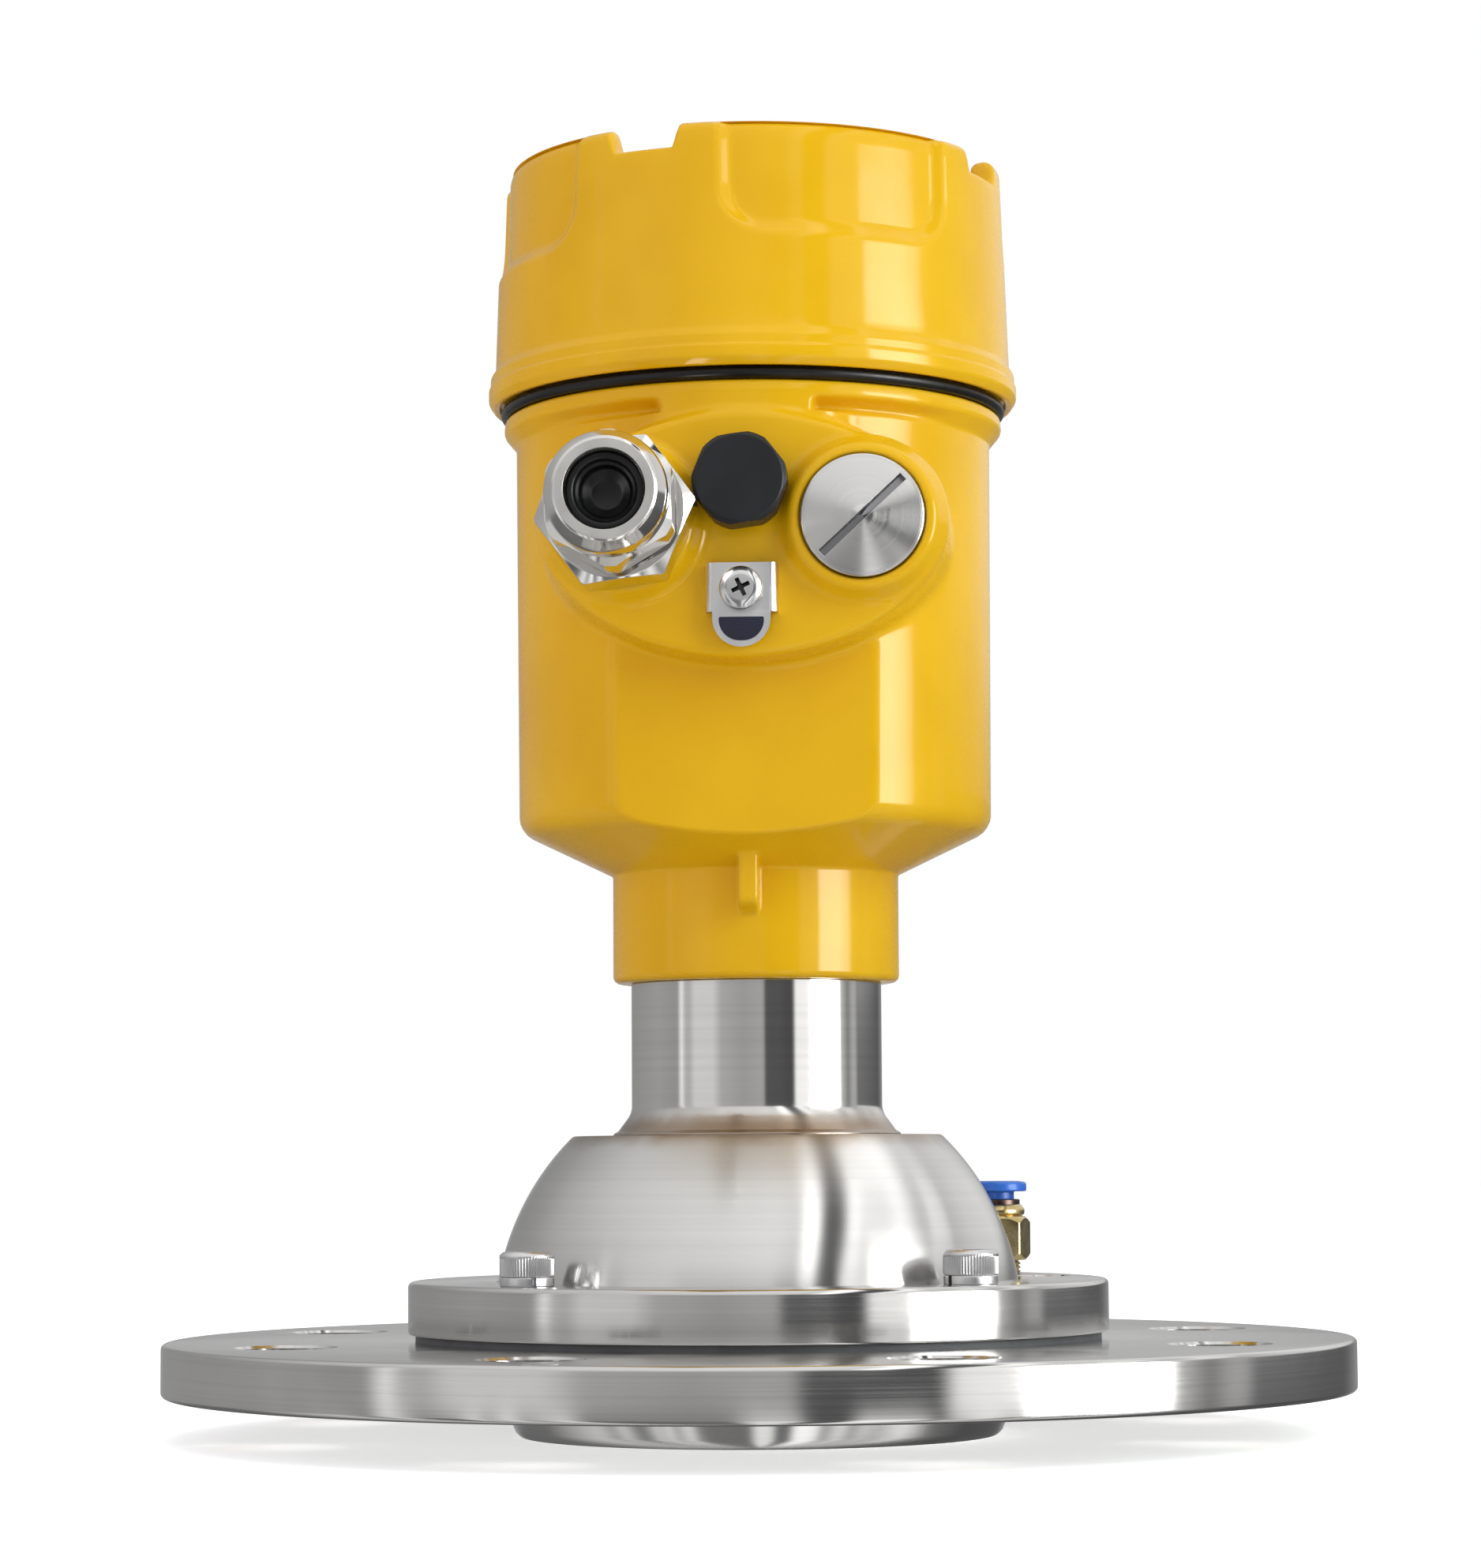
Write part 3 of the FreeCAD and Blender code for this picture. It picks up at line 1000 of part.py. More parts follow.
def terminal_block():
    back = MODULE_STEP_Y - TERMINAL_BEHIND_STEP
    top = MODULE_STEP_Z + TERMINAL_HEIGHT
    body = block(-TERMINAL_LENGTH / 2, TERMINAL_LENGTH / 2, back - TERMINAL_DEPTH, back, MODULE_STEP_Z, top)
    for x in terminal_centres():
        body = body.cut(disc(TERMINAL_SCREW_RADIUS + FIT_GAP, top - TERMINAL_SCREW_DEPTH, top + 1, x,
                             back - TERMINAL_DEPTH / 2))
        mouth_z = MODULE_STEP_Z + TERMINAL_MOUTH_LOW
        mouth = block(x - TERMINAL_MOUTH / 2, x + TERMINAL_MOUTH / 2, back - TERMINAL_DEPTH - 1,
                      back - TERMINAL_DEPTH + TERMINAL_MOUTH, mouth_z, mouth_z + TERMINAL_MOUTH)
        body = body.cut(mouth)
    return body


def terminal_screws():
    top = MODULE_STEP_Z + TERMINAL_HEIGHT
    y = MODULE_STEP_Y - TERMINAL_BEHIND_STEP - TERMINAL_DEPTH / 2
    face = top - TERMINAL_SCREW_SUNK
    screws = []
    for x in terminal_centres():
        head = disc(TERMINAL_SCREW_RADIUS, top - TERMINAL_SCREW_DEPTH, face, x, y)
        screws.append(head.cut(block(x - 2, x + 2, y - TERMINAL_SLOT_WIDTH / 2, y + TERMINAL_SLOT_WIDTH / 2,
                                     face - TERMINAL_SCREW_SUNK, top)))
    return Part.makeCompound(screws)


def key_centres():
    return [(KEY_PITCH * (index - (KEY_COUNT - 1) / 2), KEY_Y) for index in range(KEY_COUNT)]


def display_module():
    """Round plug-in display: window recess for the screen and a well for each key."""
    top = MODULE_TOP_Z + DISPLAY_THICKNESS
    body = turned([(0, MODULE_TOP_Z), (DISPLAY_RADIUS, MODULE_TOP_Z, DISPLAY_FOOT_EDGE),
                   (DISPLAY_RADIUS, top, MODULE_EDGE), (0, top)])
    body = body.cut(block(-SCREEN_WIDTH / 2 - FIT_GAP, SCREEN_WIDTH / 2 + FIT_GAP,
                          SCREEN_Y - SCREEN_HEIGHT / 2 - FIT_GAP, SCREEN_Y + SCREEN_HEIGHT / 2 + FIT_GAP,
                          top - SCREEN_THICKNESS - SCREEN_RECESS, top + 1))
    for x, y in key_centres():
        body = body.cut(disc(KEY_RADIUS + MOVING_GAP, top - KEY_WELL_DEPTH, top + 1, x, y))
    return body


def display_screen():
    low = MODULE_TOP_Z + DISPLAY_THICKNESS - SCREEN_THICKNESS - SCREEN_RECESS
    half = SCREEN_WIDTH / 2
    return block(-half, half, SCREEN_Y - SCREEN_HEIGHT / 2, SCREEN_Y + SCREEN_HEIGHT / 2,
                 low, low + SCREEN_THICKNESS)


def display_key(x, y):
    top = MODULE_TOP_Z + DISPLAY_THICKNESS
    low = top - KEY_WELL_DEPTH + KEY_FREE_DEPTH
    head = top + KEY_STANDS_OUT
    key = turned([(0, low), (KEY_RADIUS, low), (KEY_RADIUS, head, KEY_EDGE), (0, head)])
    key.translate(at(x, y, 0))
    return key


def build():
    """Every node's name and its shape."""
    makers = (main_flange, ball_seat_ring, clamp_gasket, clamp_ring, clamp_screws, clamp_spring_washers,
              purge_fitting_body, purge_fitting_ring, purge_tube_seal, purge_collet, purge_release_collar,
              ball_joint, lens_seal, lens_antenna, lens_retaining_ring, feed_horn, hf_module,
              neck_tube, neck_seal, neck_snap_ring, housing, housing_lock_screw,
              gland_body, gland_gasket, gland_cage, gland_seal_insert, gland_nut,
              blanking_plug, vent_plug, vent_seal, vent_membrane, earth_saddle, earth_label, earth_screw,
              cover_o_ring, cover, glass_gasket, sight_glass, glass_retaining_ring,
              electronics_module, terminal_block, terminal_screws, display_module, display_screen)
    shapes = {maker.__name__: maker() for maker in makers}
    for number, (x, y) in enumerate(key_centres(), 1):
        shapes["display_key_%d" % number] = display_key(x, y)
    return shapes


os.makedirs("parts", exist_ok=True)
for name, shape in build().items():
    if not shape.isValid():
        raise ValueError("invalid shape: " + name)
    shape.exportStep("parts/" + name + ".step")
    print("%-24s solids %d faces %3d volume %.1f" % (name, len(shape.Solids), len(shape.Faces), shape.Volume))
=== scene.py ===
"""Looks of the radar level transmitter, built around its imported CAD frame.

Sizes in the classes are millimetres in the CAD frame: +Z up, cable entries at -Y, origin at the
centre of the process flange's lower face. Objects are in metres.
"""
import logging
import math
from dataclasses import dataclass
from enum import Enum
from typing import Callable, Iterable, Optional, Sequence

import bmesh
import bpy
import numpy as np
from mathutils import Matrix, Vector


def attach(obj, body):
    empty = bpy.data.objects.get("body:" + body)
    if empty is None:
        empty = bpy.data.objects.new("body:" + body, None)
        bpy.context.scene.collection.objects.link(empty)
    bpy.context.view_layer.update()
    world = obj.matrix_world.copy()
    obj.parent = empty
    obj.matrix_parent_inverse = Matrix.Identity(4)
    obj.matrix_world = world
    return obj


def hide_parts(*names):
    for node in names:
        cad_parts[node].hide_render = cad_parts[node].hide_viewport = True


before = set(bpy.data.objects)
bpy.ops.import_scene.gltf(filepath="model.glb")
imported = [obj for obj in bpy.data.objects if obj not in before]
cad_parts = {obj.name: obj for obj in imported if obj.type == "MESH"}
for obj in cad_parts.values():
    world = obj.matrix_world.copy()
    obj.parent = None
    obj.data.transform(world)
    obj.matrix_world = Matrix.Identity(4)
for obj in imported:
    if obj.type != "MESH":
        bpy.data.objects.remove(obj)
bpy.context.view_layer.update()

LOG = logging.getLogger("transmitter")
MM = 0.001
MERGE = 1e-4  # millimetres between vertices that are one
SEAM_MERGE = 2e-3  # the same where two stretches of a turn meet
FULL_TURN = 2 * math.pi
STRONGEST = 12.0  # brightness that a full white of the sky's bands stands for
SHADED_BAND = 0.3  # bands darker than this are tinted blue
Profile = Sequence[tuple[float, ...]]
Triple = tuple[float, float, float]
Socket = bpy.types.NodeSocket


class Facing(Enum):
    """Which way the axis of a turned piece points."""

    UP = "up"
    FRONT = "front"


class Work(Enum):
    """What a second shape does to a first one."""

    CUT = "DIFFERENCE"
    JOIN = "UNION"
    KEEP = "INTERSECT"


def polar(radius: float, angle: float) -> tuple[float, float]:
    """Point at an angle in degrees from +X."""
    return radius * math.cos(math.radians(angle)), radius * math.sin(math.radians(angle))


def smooth_step(values: np.ndarray, low: float, high: float) -> np.ndarray:
    """Soft ramp from 0 at low to 1 at high."""
    share = np.clip((values - low) / (high - low), 0.0, 1.0)
    return share * share * (3 - 2 * share)


def soft_ramp(values: np.ndarray, low: float, high: float, rounding: float) -> np.ndarray:
    """Straight ramp from 0 at low to 1 at high whose two bends are rounded."""
    shifts = np.linspace(-rounding, rounding, 7)
    return sum(np.clip((values + shift - low) / (high - low), 0.0, 1.0) for shift in shifts) / len(shifts)


def soft_min(first: np.ndarray, second: np.ndarray, blend: float) -> np.ndarray:
    """Union of two distances with a fillet about as wide as blend."""
    share = np.clip(0.5 + 0.5 * (second - first) / blend, 0.0, 1.0)
    return second + (first - second) * share - blend * share * (1 - share)


def soft_max(first: np.ndarray, second: np.ndarray, blend: float) -> np.ndarray:
    """Common part of two distances with a rounded edge about as wide as blend."""
    return -soft_min(-first, -second, blend)


def put_in_scene(name: str, data: bpy.types.ID) -> bpy.types.Object:
    """New object of the scene for a mesh, a lamp or the camera."""
    made = bpy.data.objects.new(name, data)
    bpy.context.scene.collection.objects.link(made)
    return made


class Form:
    """A solid shape in millimetres, worked with bmesh operators until it becomes a piece."""

    def __init__(self) -> None:
        """Start with an empty mesh."""
        self.mesh = bmesh.new()

    @classmethod
    def turned(cls, profile: Profile, steps: int = 192, segments: int = 5,
               spacing: Optional[Callable[[float, float], float]] = None,
               arcs: Sequence[tuple[float, int]] = ((360.0, 0),)) -> "Form":
        """Turn a profile about Z.

        Args:
            profile: Radius and height of each corner; a third number rounds it.
            steps: Faces round the full turn.
            segments: Faces in each rounded corner.
            spacing: Longest allowed edge at a radius and height, where rows are needed.
            arcs: Degrees and faces of each stretch of the turn, from -Y towards +X.

        Returns:
            The closed form.
        """
        form = cls()
        form._trace(profile, segments)
        if spacing:
            for edge in list(form.mesh.edges):
                middle = (edge.verts[0].co + edge.verts[1].co) / 2
                cuts = math.ceil(edge.calc_length() / spacing(middle.x, middle.z)) - 1
                if cuts > 0:
                    bmesh.ops.subdivide_edges(form.mesh, edges=[edge], cuts=cuts)
        geometry = form.mesh.verts[:] + form.mesh.edges[:]
        for angle, count in arcs:
            whole = abs(angle - 360) < 1e-6
            made = bmesh.ops.spin(form.mesh, geom=geometry, cent=(0, 0, 0), axis=(0, 0, 1),
                                  angle=math.radians(angle), steps=count or steps, use_merge=whole,
                                  use_duplicate=False, use_normal_flip=False)
            geometry = made["geom_last"]
        return form.settle(MERGE if len(arcs) == 1 else SEAM_MERGE)

    def _trace(self, profile: Profile, segments: int) -> None:
        """Draw a profile as a wire in the XZ plane and round its corners."""
        corners = [Vector((point[0], 0, point[1])) for point in profile]
        closed = bool(profile[0][0] or profile[-1][0])
        self._draw(profile, corners, closed, segments)

    def _draw(self, points: Profile, corners: Sequence[Vector], closed: bool, segments: int) -> None:
        """Draw a wire through corners, then round those whose point has a third number."""
        verts = [self.mesh.verts.new(corner) for corner in corners]
        for first, second in zip(verts, verts[1:]):
            self.mesh.edges.new((first, second))
        if closed:
            self.mesh.edges.new((verts[-1], verts[0]))
        for index, point in enumerate(points):
            if len(point) < 3:
                continue
            back = corners[index - 1] - corners[index]
            ahead = corners[(index + 1) % len(corners)] - corners[index]
            reach = point[2] / math.tan(back.angle(ahead) / 2)
            bmesh.ops.bevel(self.mesh, geom=[verts[index]], offset=reach, offset_type="OFFSET",
                            segments=segments, profile=0.5, affect="VERTICES", material=-1)

    @classmethod
    def disc(cls, radius: float, low: float, high: float, steps: int = 96) -> "Form":
        """Plain round bar about Z, for cutting and joining."""
        return cls.turned([(0, low), (radius, low), (radius, high), (0, high)], steps)

    @classmethod
    def plate(cls, outline: Profile, low: float, high: float, segments: int = 8) -> "Form":
        """Extrude a closed outline in XY; a third number in a point rounds that corner."""
        form = cls()
        corners = [Vector((point[0], point[1], low)) for point in outline]
        form._draw(outline, corners, True, segments)
        bmesh.ops.remove_doubles(form.mesh, verts=form.mesh.verts[:], dist=MERGE)
        face = bmesh.ops.contextual_create(form.mesh, geom=form.mesh.edges[:])["faces"]
        grown = bmesh.ops.extrude_face_region(form.mesh, geom=face)["geom"]
        bmesh.ops.translate(form.mesh, vec=(0, 0, high - low),
                            verts=[item for item in grown if isinstance(item, bmesh.types.BMVert)])
        return form.settle()

    @classmethod
    def block(cls, size_x: float, size_y: float, low: float, high: float) -> "Form":
        """Box centred on Z."""
        x, y = size_x / 2, size_y / 2
        return cls.plate([(-x, -y), (x, -y), (x, y), (-x, y)], low, high)

    @classmethod
    def hexagon(cls, flats: float, low: float, high: float) -> "Form":
        """Hexagonal prism about Z with a corner on +X."""
        reach = flats / math.sqrt(3)
        return cls.plate([polar(reach, 60 * index) for index in range(6)], low, high)

    def settle(self, reach: float = MERGE) -> "Form":
        """Merge vertices closer than reach, drop loose edges and point every face outwards."""
        bmesh.ops.remove_doubles(self.mesh, verts=self.mesh.verts[:], dist=reach)
        loose = [edge for edge in self.mesh.edges if edge.is_wire]
        bmesh.ops.delete(self.mesh, geom=loose, context="EDGES")
        bmesh.ops.recalc_face_normals(self.mesh, faces=self.mesh.faces[:])
        return self

    def shift(self, x: float = 0.0, y: float = 0.0, z: float = 0.0) -> "Form":
        """Move the form."""
        bmesh.ops.translate(self.mesh, vec=(x, y, z), verts=self.mesh.verts[:])
        return self

    def turn(self, angle: float, axis: str = "Z") -> "Form":
        """Turn the form about an axis through the origin, in degrees."""
        bmesh.ops.rotate(self.mesh, cent=(0, 0, 0), matrix=Matrix.Rotation(math.radians(angle), 3, axis),
                         verts=self.mesh.verts[:])
        return self

    def to_front(self, x: float, z: float) -> "Form":
        """Lay a form built along +Z so that it points along -Y, on the axis at x, z."""
        return self.turn(90, "X").shift(x=x, z=z)

    def add(self, *others: "Form") -> "Form":
        """Take other forms in as loose parts, which may not overlap where a boolean follows."""
        for other in others:
            scratch = bpy.data.meshes.new("scratch")
            other.mesh.to_mesh(scratch)
            self.mesh.from_mesh(scratch)
            bpy.data.meshes.remove(scratch)
            other.mesh.free()
        return self

    def work(self, how: Work, *others: "Form") -> "Form":
        """Cut, join or keep with other forms.

        Args:
            how: What the others do to this form.
            others: Closed forms that don't overlap one another.

        Returns:
            This form.
        """
        tool = others[0].add(*others[1:])
        stand_ins = []
        for form in (self, tool):
            scratch = bpy.data.meshes.new("scratch")
            form.mesh.to_mesh(scratch)
            stand_ins.append(put_in_scene("scratch", scratch))
        modifier = stand_ins[0].modifiers.new("work", "BOOLEAN")
        modifier.operation = how.value
        modifier.solver = "MANIFOLD"
        modifier.object = stand_ins[1]
        depsgraph = bpy.context.evaluated_depsgraph_get()
        result = bpy.data.meshes.new_from_object(stand_ins[0].evaluated_get(depsgraph))
        self.mesh.clear()
        self.mesh.from_mesh(result)
        tool.mesh.free()
        for holder in stand_ins:
            scratch = holder.data
            bpy.data.objects.remove(holder)
            bpy.data.meshes.remove(scratch)
        bpy.data.meshes.remove(result)
        self.warn_if_open(how.name)
        return self

    def warn_if_open(self, where: str) -> None:
        """Log edges that don't join exactly two faces."""
        count = sum(not edge.is_manifold for edge in self.mesh.edges)
        if count:
            LOG.warning("%s leaves %d open edges", where, count)

    def hand_over(self, name: str) -> bpy.types.Mesh:
        """Turn the form into a mesh in metres; the form is used up."""
        bmesh.ops.scale(self.mesh, vec=(MM, MM, MM), verts=self.mesh.verts[:])
        mesh = bpy.data.meshes.new(name)
        self.mesh.to_mesh(mesh)
        self.mesh.free()
        return mesh

    def places(self) -> np.ndarray:
        """Vertex places as an array of rows."""
        return np.array([vert.co[:] for vert in self.mesh.verts], float)

    def move_to(self, places: np.ndarray) -> "Form":
        """Put the vertices at new places."""
        for vert, place in zip(self.mesh.verts, places):
            vert.co = place
        return self


def chamfered_hexagon(flats: float, low: float, high: float, corners: float, edge: float,
                      both: bool = False) -> Form:
    """Hexagonal nut blank whose end is turned to a cone.

    Args:
        flats: Distance across flats.
        low: Lower end.
        high: Upper end, the turned one.
        corners: Diameter over the turned corners.
        edge: How far down the cone reaches at the corners.
        both: Whether the lower end is turned as well.

    Returns:
        The blank, a corner on +X.
    """
    face = flats / 2 - 0.3
    outer = corners / 2
    foot = [(0, low), (face, low), (outer, low + edge)] if both else [(0, low), (outer, low)]
    keeper = Form.turned(foot + [(outer, high - edge), (face, high), (0, high)], 144)
    return Form.hexagon(flats, low - 1, high + 1).work(Work.KEEP, keeper)


def shade(code: str) -> tuple[float, float, float, float]:
    """Linear colour of a six-digit sRGB code."""
    parts = [int(code[index:index + 2], 16) / 255 for index in (0, 2, 4)]
    linear = [part / 12.92 if part <= 0.04045 else ((part + 0.055) / 1.055) ** 2.4 for part in parts]
    return linear[0], linear[1], linear[2], 1.0


class Sheet:
    """Node tree, with short calls for the nodes that the finishes and the world use."""

    def __init__(self, tree: bpy.types.NodeTree) -> None:
        """Start with an empty tree."""
        self.tree = tree
        self.tree.nodes.clear()

    def add(self, kind: str, **settings: object) -> bpy.types.Node:
        """New node with its settings."""
        node = self.tree.nodes.new(kind)
        for key, value in settings.items():
            setattr(node, key, value)
        return node

    def feed(self, socket: Socket, value: object) -> None:
        """Link an output into a socket, or set the socket to a constant."""
        if isinstance(value, Socket):
            self.tree.links.new(value, socket)
        else:
            socket.default_value = value

    def background(self, colour: object, strength: object) -> Socket:
        """Light of the world."""
        node = self.add("ShaderNodeBackground")
        self.feed(node.inputs["Color"], colour)
        self.feed(node.inputs["Strength"], strength)
        return node.outputs[0]

    def mix(self, factor: Socket, first: Socket, second: Socket) -> Socket:
        """Mix two shaders."""
        node = self.add("ShaderNodeMixShader")
        for socket, value in zip(node.inputs, (factor, first, second)):
            self.feed(socket, value)
        return node.outputs[0]

    def maths(self, operation: str, *values: object) -> Socket:
        """Result of a Math node."""
        node = self.add("ShaderNodeMath", operation=operation)
        for socket, value in zip(node.inputs, values):
            self.feed(socket, value)
        return node.outputs[0]

    def place(self, centre: Triple = (0.0, 0.0, 0.0)) -> Socket:
        """Object coordinates from a centre given in millimetres."""
        node = self.add("ShaderNodeVectorMath", operation="SUBTRACT")
        self.feed(node.inputs[0], self.add("ShaderNodeTexCoord").outputs["Object"])
        self.feed(node.inputs[1], tuple(value * MM for value in centre))
        return node.outputs[0]

    def split(self, vector: Socket) -> tuple[Socket, ...]:
        """The three numbers of a vector."""
        node = self.add("ShaderNodeSeparateXYZ")
        self.feed(node.inputs[0], vector)
        return tuple(node.outputs)

    def turned_place(self, facing: Facing, centre: Triple) -> tuple[Socket, ...]:
        """Coordinates in which a pattern runs round a turning axis.

        Args:
            facing: Which way the axis points.
            centre: A point on the axis, in millimetres.

        Returns:
            The vector (radius, 0, place along the axis), and the radius.
        """
        x, y, z = self.split(self.place(centre))
        side, along = (y, z) if facing is Facing.UP else (z, y)
        square = self.maths("ADD", self.maths("MULTIPLY", x, x), self.maths("MULTIPLY", side, side))
        radius = self.maths("SQRT", square)
        node = self.add("ShaderNodeCombineXYZ")
        self.feed(node.inputs[0], radius)
        self.feed(node.inputs[2], along)
        return node.outputs[0], radius

    def noise(self, vector: Socket, scale: float, detail: float = 2.0) -> Socket:
        """Noise with features of about 1 / scale metres."""
        node = self.add("ShaderNodeTexNoise")
        self.feed(node.inputs["Vector"], vector)
        self.feed(node.inputs["Scale"], scale)
        self.feed(node.inputs["Detail"], detail)
        return node.outputs[0]

    def span(self, factor: Socket, low: float, high: float, first: float = 0.0,
             last: float = 1.0) -> Socket:
        """Map a range of a factor on another, clamped and softened."""
        node = self.add("ShaderNodeMapRange", interpolation_type="SMOOTHSTEP")
        for name, value in (("Value", factor), ("From Min", low), ("From Max", high), ("To Min", first),
                            ("To Max", last)):
            self.feed(node.inputs[name], value)
        return node.outputs[0]

    def blend(self, factor: object, first: object, second: object) -> Socket:
        """Mix two colours."""
        node = self.add("ShaderNodeMix", data_type="RGBA")
        for socket, value in zip((node.inputs[0], node.inputs[6], node.inputs[7]), (factor, first, second)):
            self.feed(socket, value)
        return node.outputs[2]

    def bump(self, height: Socket, depth: float,
             under: Optional[Socket] = None) -> Socket:
        """Normal of a height field as deep as depth, in metres."""
        node = self.add("ShaderNodeBump")
        self.feed(node.inputs["Distance"], depth)
        self.feed(node.inputs["Height"], height)
        if under:
            self.feed(node.inputs["Normal"], under)
        return node.outputs[0]


class MaterialSheet(Sheet):
    """Node tree of one material, round a Principled shader."""

    def __init__(self, name: str) -> None:
        """Start a material with its shader and its output."""
        self.material = bpy.data.materials.new(name)
        self.material.use_nodes = True
        super().__init__(self.material.node_tree)
        self.surface = self.add("ShaderNodeBsdfPrincipled")
        self.output = self.add("ShaderNodeOutputMaterial")
        self.feed(self.output.inputs["Surface"], self.surface.outputs[0])

    def set(self, **values: object) -> None:
        """Set or link sockets of the Principled shader; underscores stand for spaces."""
        for key, value in values.items():
            self.feed(self.surface.inputs[key.replace("_", " ")], value)


@dataclass(frozen=True)
class Finish:
    """What a surface is made of: name of its material, and a slot name that is not used."""

    name: str
    slot: str

    def material(self) -> bpy.types.Material:
        """The finish's material, made once."""
        known = bpy.data.materials.get("look_" + self.name)
        if known:
            return known
        sheet = MaterialSheet("look_" + self.name)
        self.dress(sheet)
        return sheet.material

    def dress(self, sheet: MaterialSheet) -> None:
        """Lay out the nodes; each kind of finish has its own."""
        raise NotImplementedError


@dataclass(frozen=True)
class PowderCoat(Finish):
    """Glossy powder coat on a casting, with slight orange peel."""

    deep: str = "DDA80C"
    light: str = "E3AF12"
    peel_scale: float = 420.0
    peel_depth: float = 1.5e-6
    sag_scale: float = 95.0
    sag_depth: float = 6.0e-5

    def dress(self, sheet: MaterialSheet) -> None:
        """Two close yellows, peel in the gloss and soft waves of the casting under it."""
        place = sheet.place()
        cloud = sheet.span(sheet.noise(place, 38.0), 0.35, 0.65)
        sheet.set(Base_Color=sheet.blend(cloud, shade(self.deep), shade(self.light)))
        grain = sheet.noise(place, 1900.0, 1.0)
        sheet.set(Roughness=sheet.span(grain, 0.2, 0.8, 0.24, 0.28), IOR=1.5, Specular_IOR_Level=0.07)
        sheet.set(Coat_Weight=0.4, Coat_Roughness=0.05, Coat_IOR=1.5)
        wave = sheet.bump(sheet.noise(place, self.sag_scale, 1.0), self.sag_depth)
        peel = sheet.bump(sheet.noise(place, self.peel_scale, 1.0), self.peel_depth, wave)
        sheet.set(Normal=peel, Coat_Normal=peel)


@dataclass(frozen=True)
class TurnedSteel(Finish):
    """Steel with tool marks that run round its axis."""

    facing: Facing = Facing.UP
    centre: Triple = (0.0, 0.0, 0.0)
    colour: str = "C9C8C6"
    dark: str = "BFBEBC"
    roughness: tuple[float, float] = (0.14, 0.26)
    fine_scale: float = 2600.0
    band_scale: float = 520.0
    groove_depth: float = 2.2e-6
    anisotropy: float = 0.8

    def dress(self, sheet: MaterialSheet) -> None:
        """Fine and broad rings in the colour, the gloss and the normal, over faint clouds."""
        round_place, _ = sheet.turned_place(self.facing, self.centre)
        fine = sheet.noise(round_place, self.fine_scale, 3.0)
        bands = sheet.noise(round_place, self.band_scale, 2.0)
        cloud = sheet.noise(sheet.place(), 60.0, 3.0)
        tone = sheet.maths("ADD", sheet.maths("MULTIPLY", bands, 0.65),
                           sheet.maths("MULTIPLY", cloud, 0.35))
        colour = sheet.blend(sheet.span(tone, 0.35, 0.62), shade(self.dark), shade(self.colour))
        sheet.set(Base_Color=self.tint(sheet, colour), Metallic=1.0)
        low, high = self.roughness
        rough = sheet.span(sheet.maths("ADD", sheet.maths("MULTIPLY", fine, 0.6),
                                       sheet.maths("MULTIPLY", cloud, 0.4)), 0.35, 0.65, low, high)
        sheet.set(Roughness=rough, Anisotropic=self.anisotropy, Anisotropic_Rotation=0.25)
        if self.facing is Facing.UP:
            tangent = sheet.add("ShaderNodeTangent", direction_type="RADIAL", axis="Z")
            sheet.set(Tangent=tangent.outputs[0])
        marks = sheet.bump(sheet.maths("ADD", fine, bands), self.groove_depth)
        sheet.set(Normal=marks)

    def tint(self, sheet: MaterialSheet, colour: Socket) -> Socket:
        """Colour of the bare steel; a welded piece adds its heat tint here."""
        return colour


@dataclass(frozen=True)
class FacedSteel(TurnedSteel):
    """Face-turned plug: coarse rings, a small bright centre, and painted shade in the colour of what lies
    deep in the slot and the seat.
    """

    polished_hub: float = 1.9
    hub_edge: tuple[float, float] = (0.85, 1.1)
    dish: float = -0.15
    slot_y: tuple[float, float] = (-51.9, -51.4)
    # Colour of the painted shade on what lies deeper than slot_y.
    slot_painted_shade: str = "8E8E91"

    def dress(self, sheet: MaterialSheet) -> None:
        """Rings by radius on a slightly dished face, with a tangent round the front axis."""
        super().dress(sheet)
        rings, radius = sheet.turned_place(self.facing, self.centre)
        inner, outer = (self.polished_hub * MM * share for share in self.hub_edge)
        outside_hub = sheet.span(radius, inner, outer)
        tangent = sheet.add("ShaderNodeVectorMath", operation="CROSS_PRODUCT")
        sheet.feed(tangent.inputs[0], sheet.place(self.centre))
        sheet.feed(tangent.inputs[1], (0.0, 1.0, 0.0))
        sheet.set(Tangent=tangent.outputs[0])
        cone = sheet.bump(radius, self.dish)
        fine = sheet.noise(rings, self.fine_scale, 3.0)
        ridges = sheet.maths("ADD", fine, sheet.noise(rings, self.band_scale, 1.0))
        sheet.set(Normal=sheet.bump(ridges, self.groove_depth, cone))
        # Painted shade: what lies deeper than slot_y, the slot floor and the seated rim, is darkened in
        # colour.
        low, high = self.slot_y
        painted_shade_mask = sheet.span(sheet.split(sheet.place())[1], low * MM, high * MM)
        sheet.set(Base_Color=sheet.blend(painted_shade_mask, shade(self.colour), shade(self.slot_painted_shade)))
        rough = sheet.maths("MULTIPLY", fine, outside_hub)
        sheet.set(Roughness=sheet.maths("MULTIPLY_ADD", rough, 0.22, 0.13))


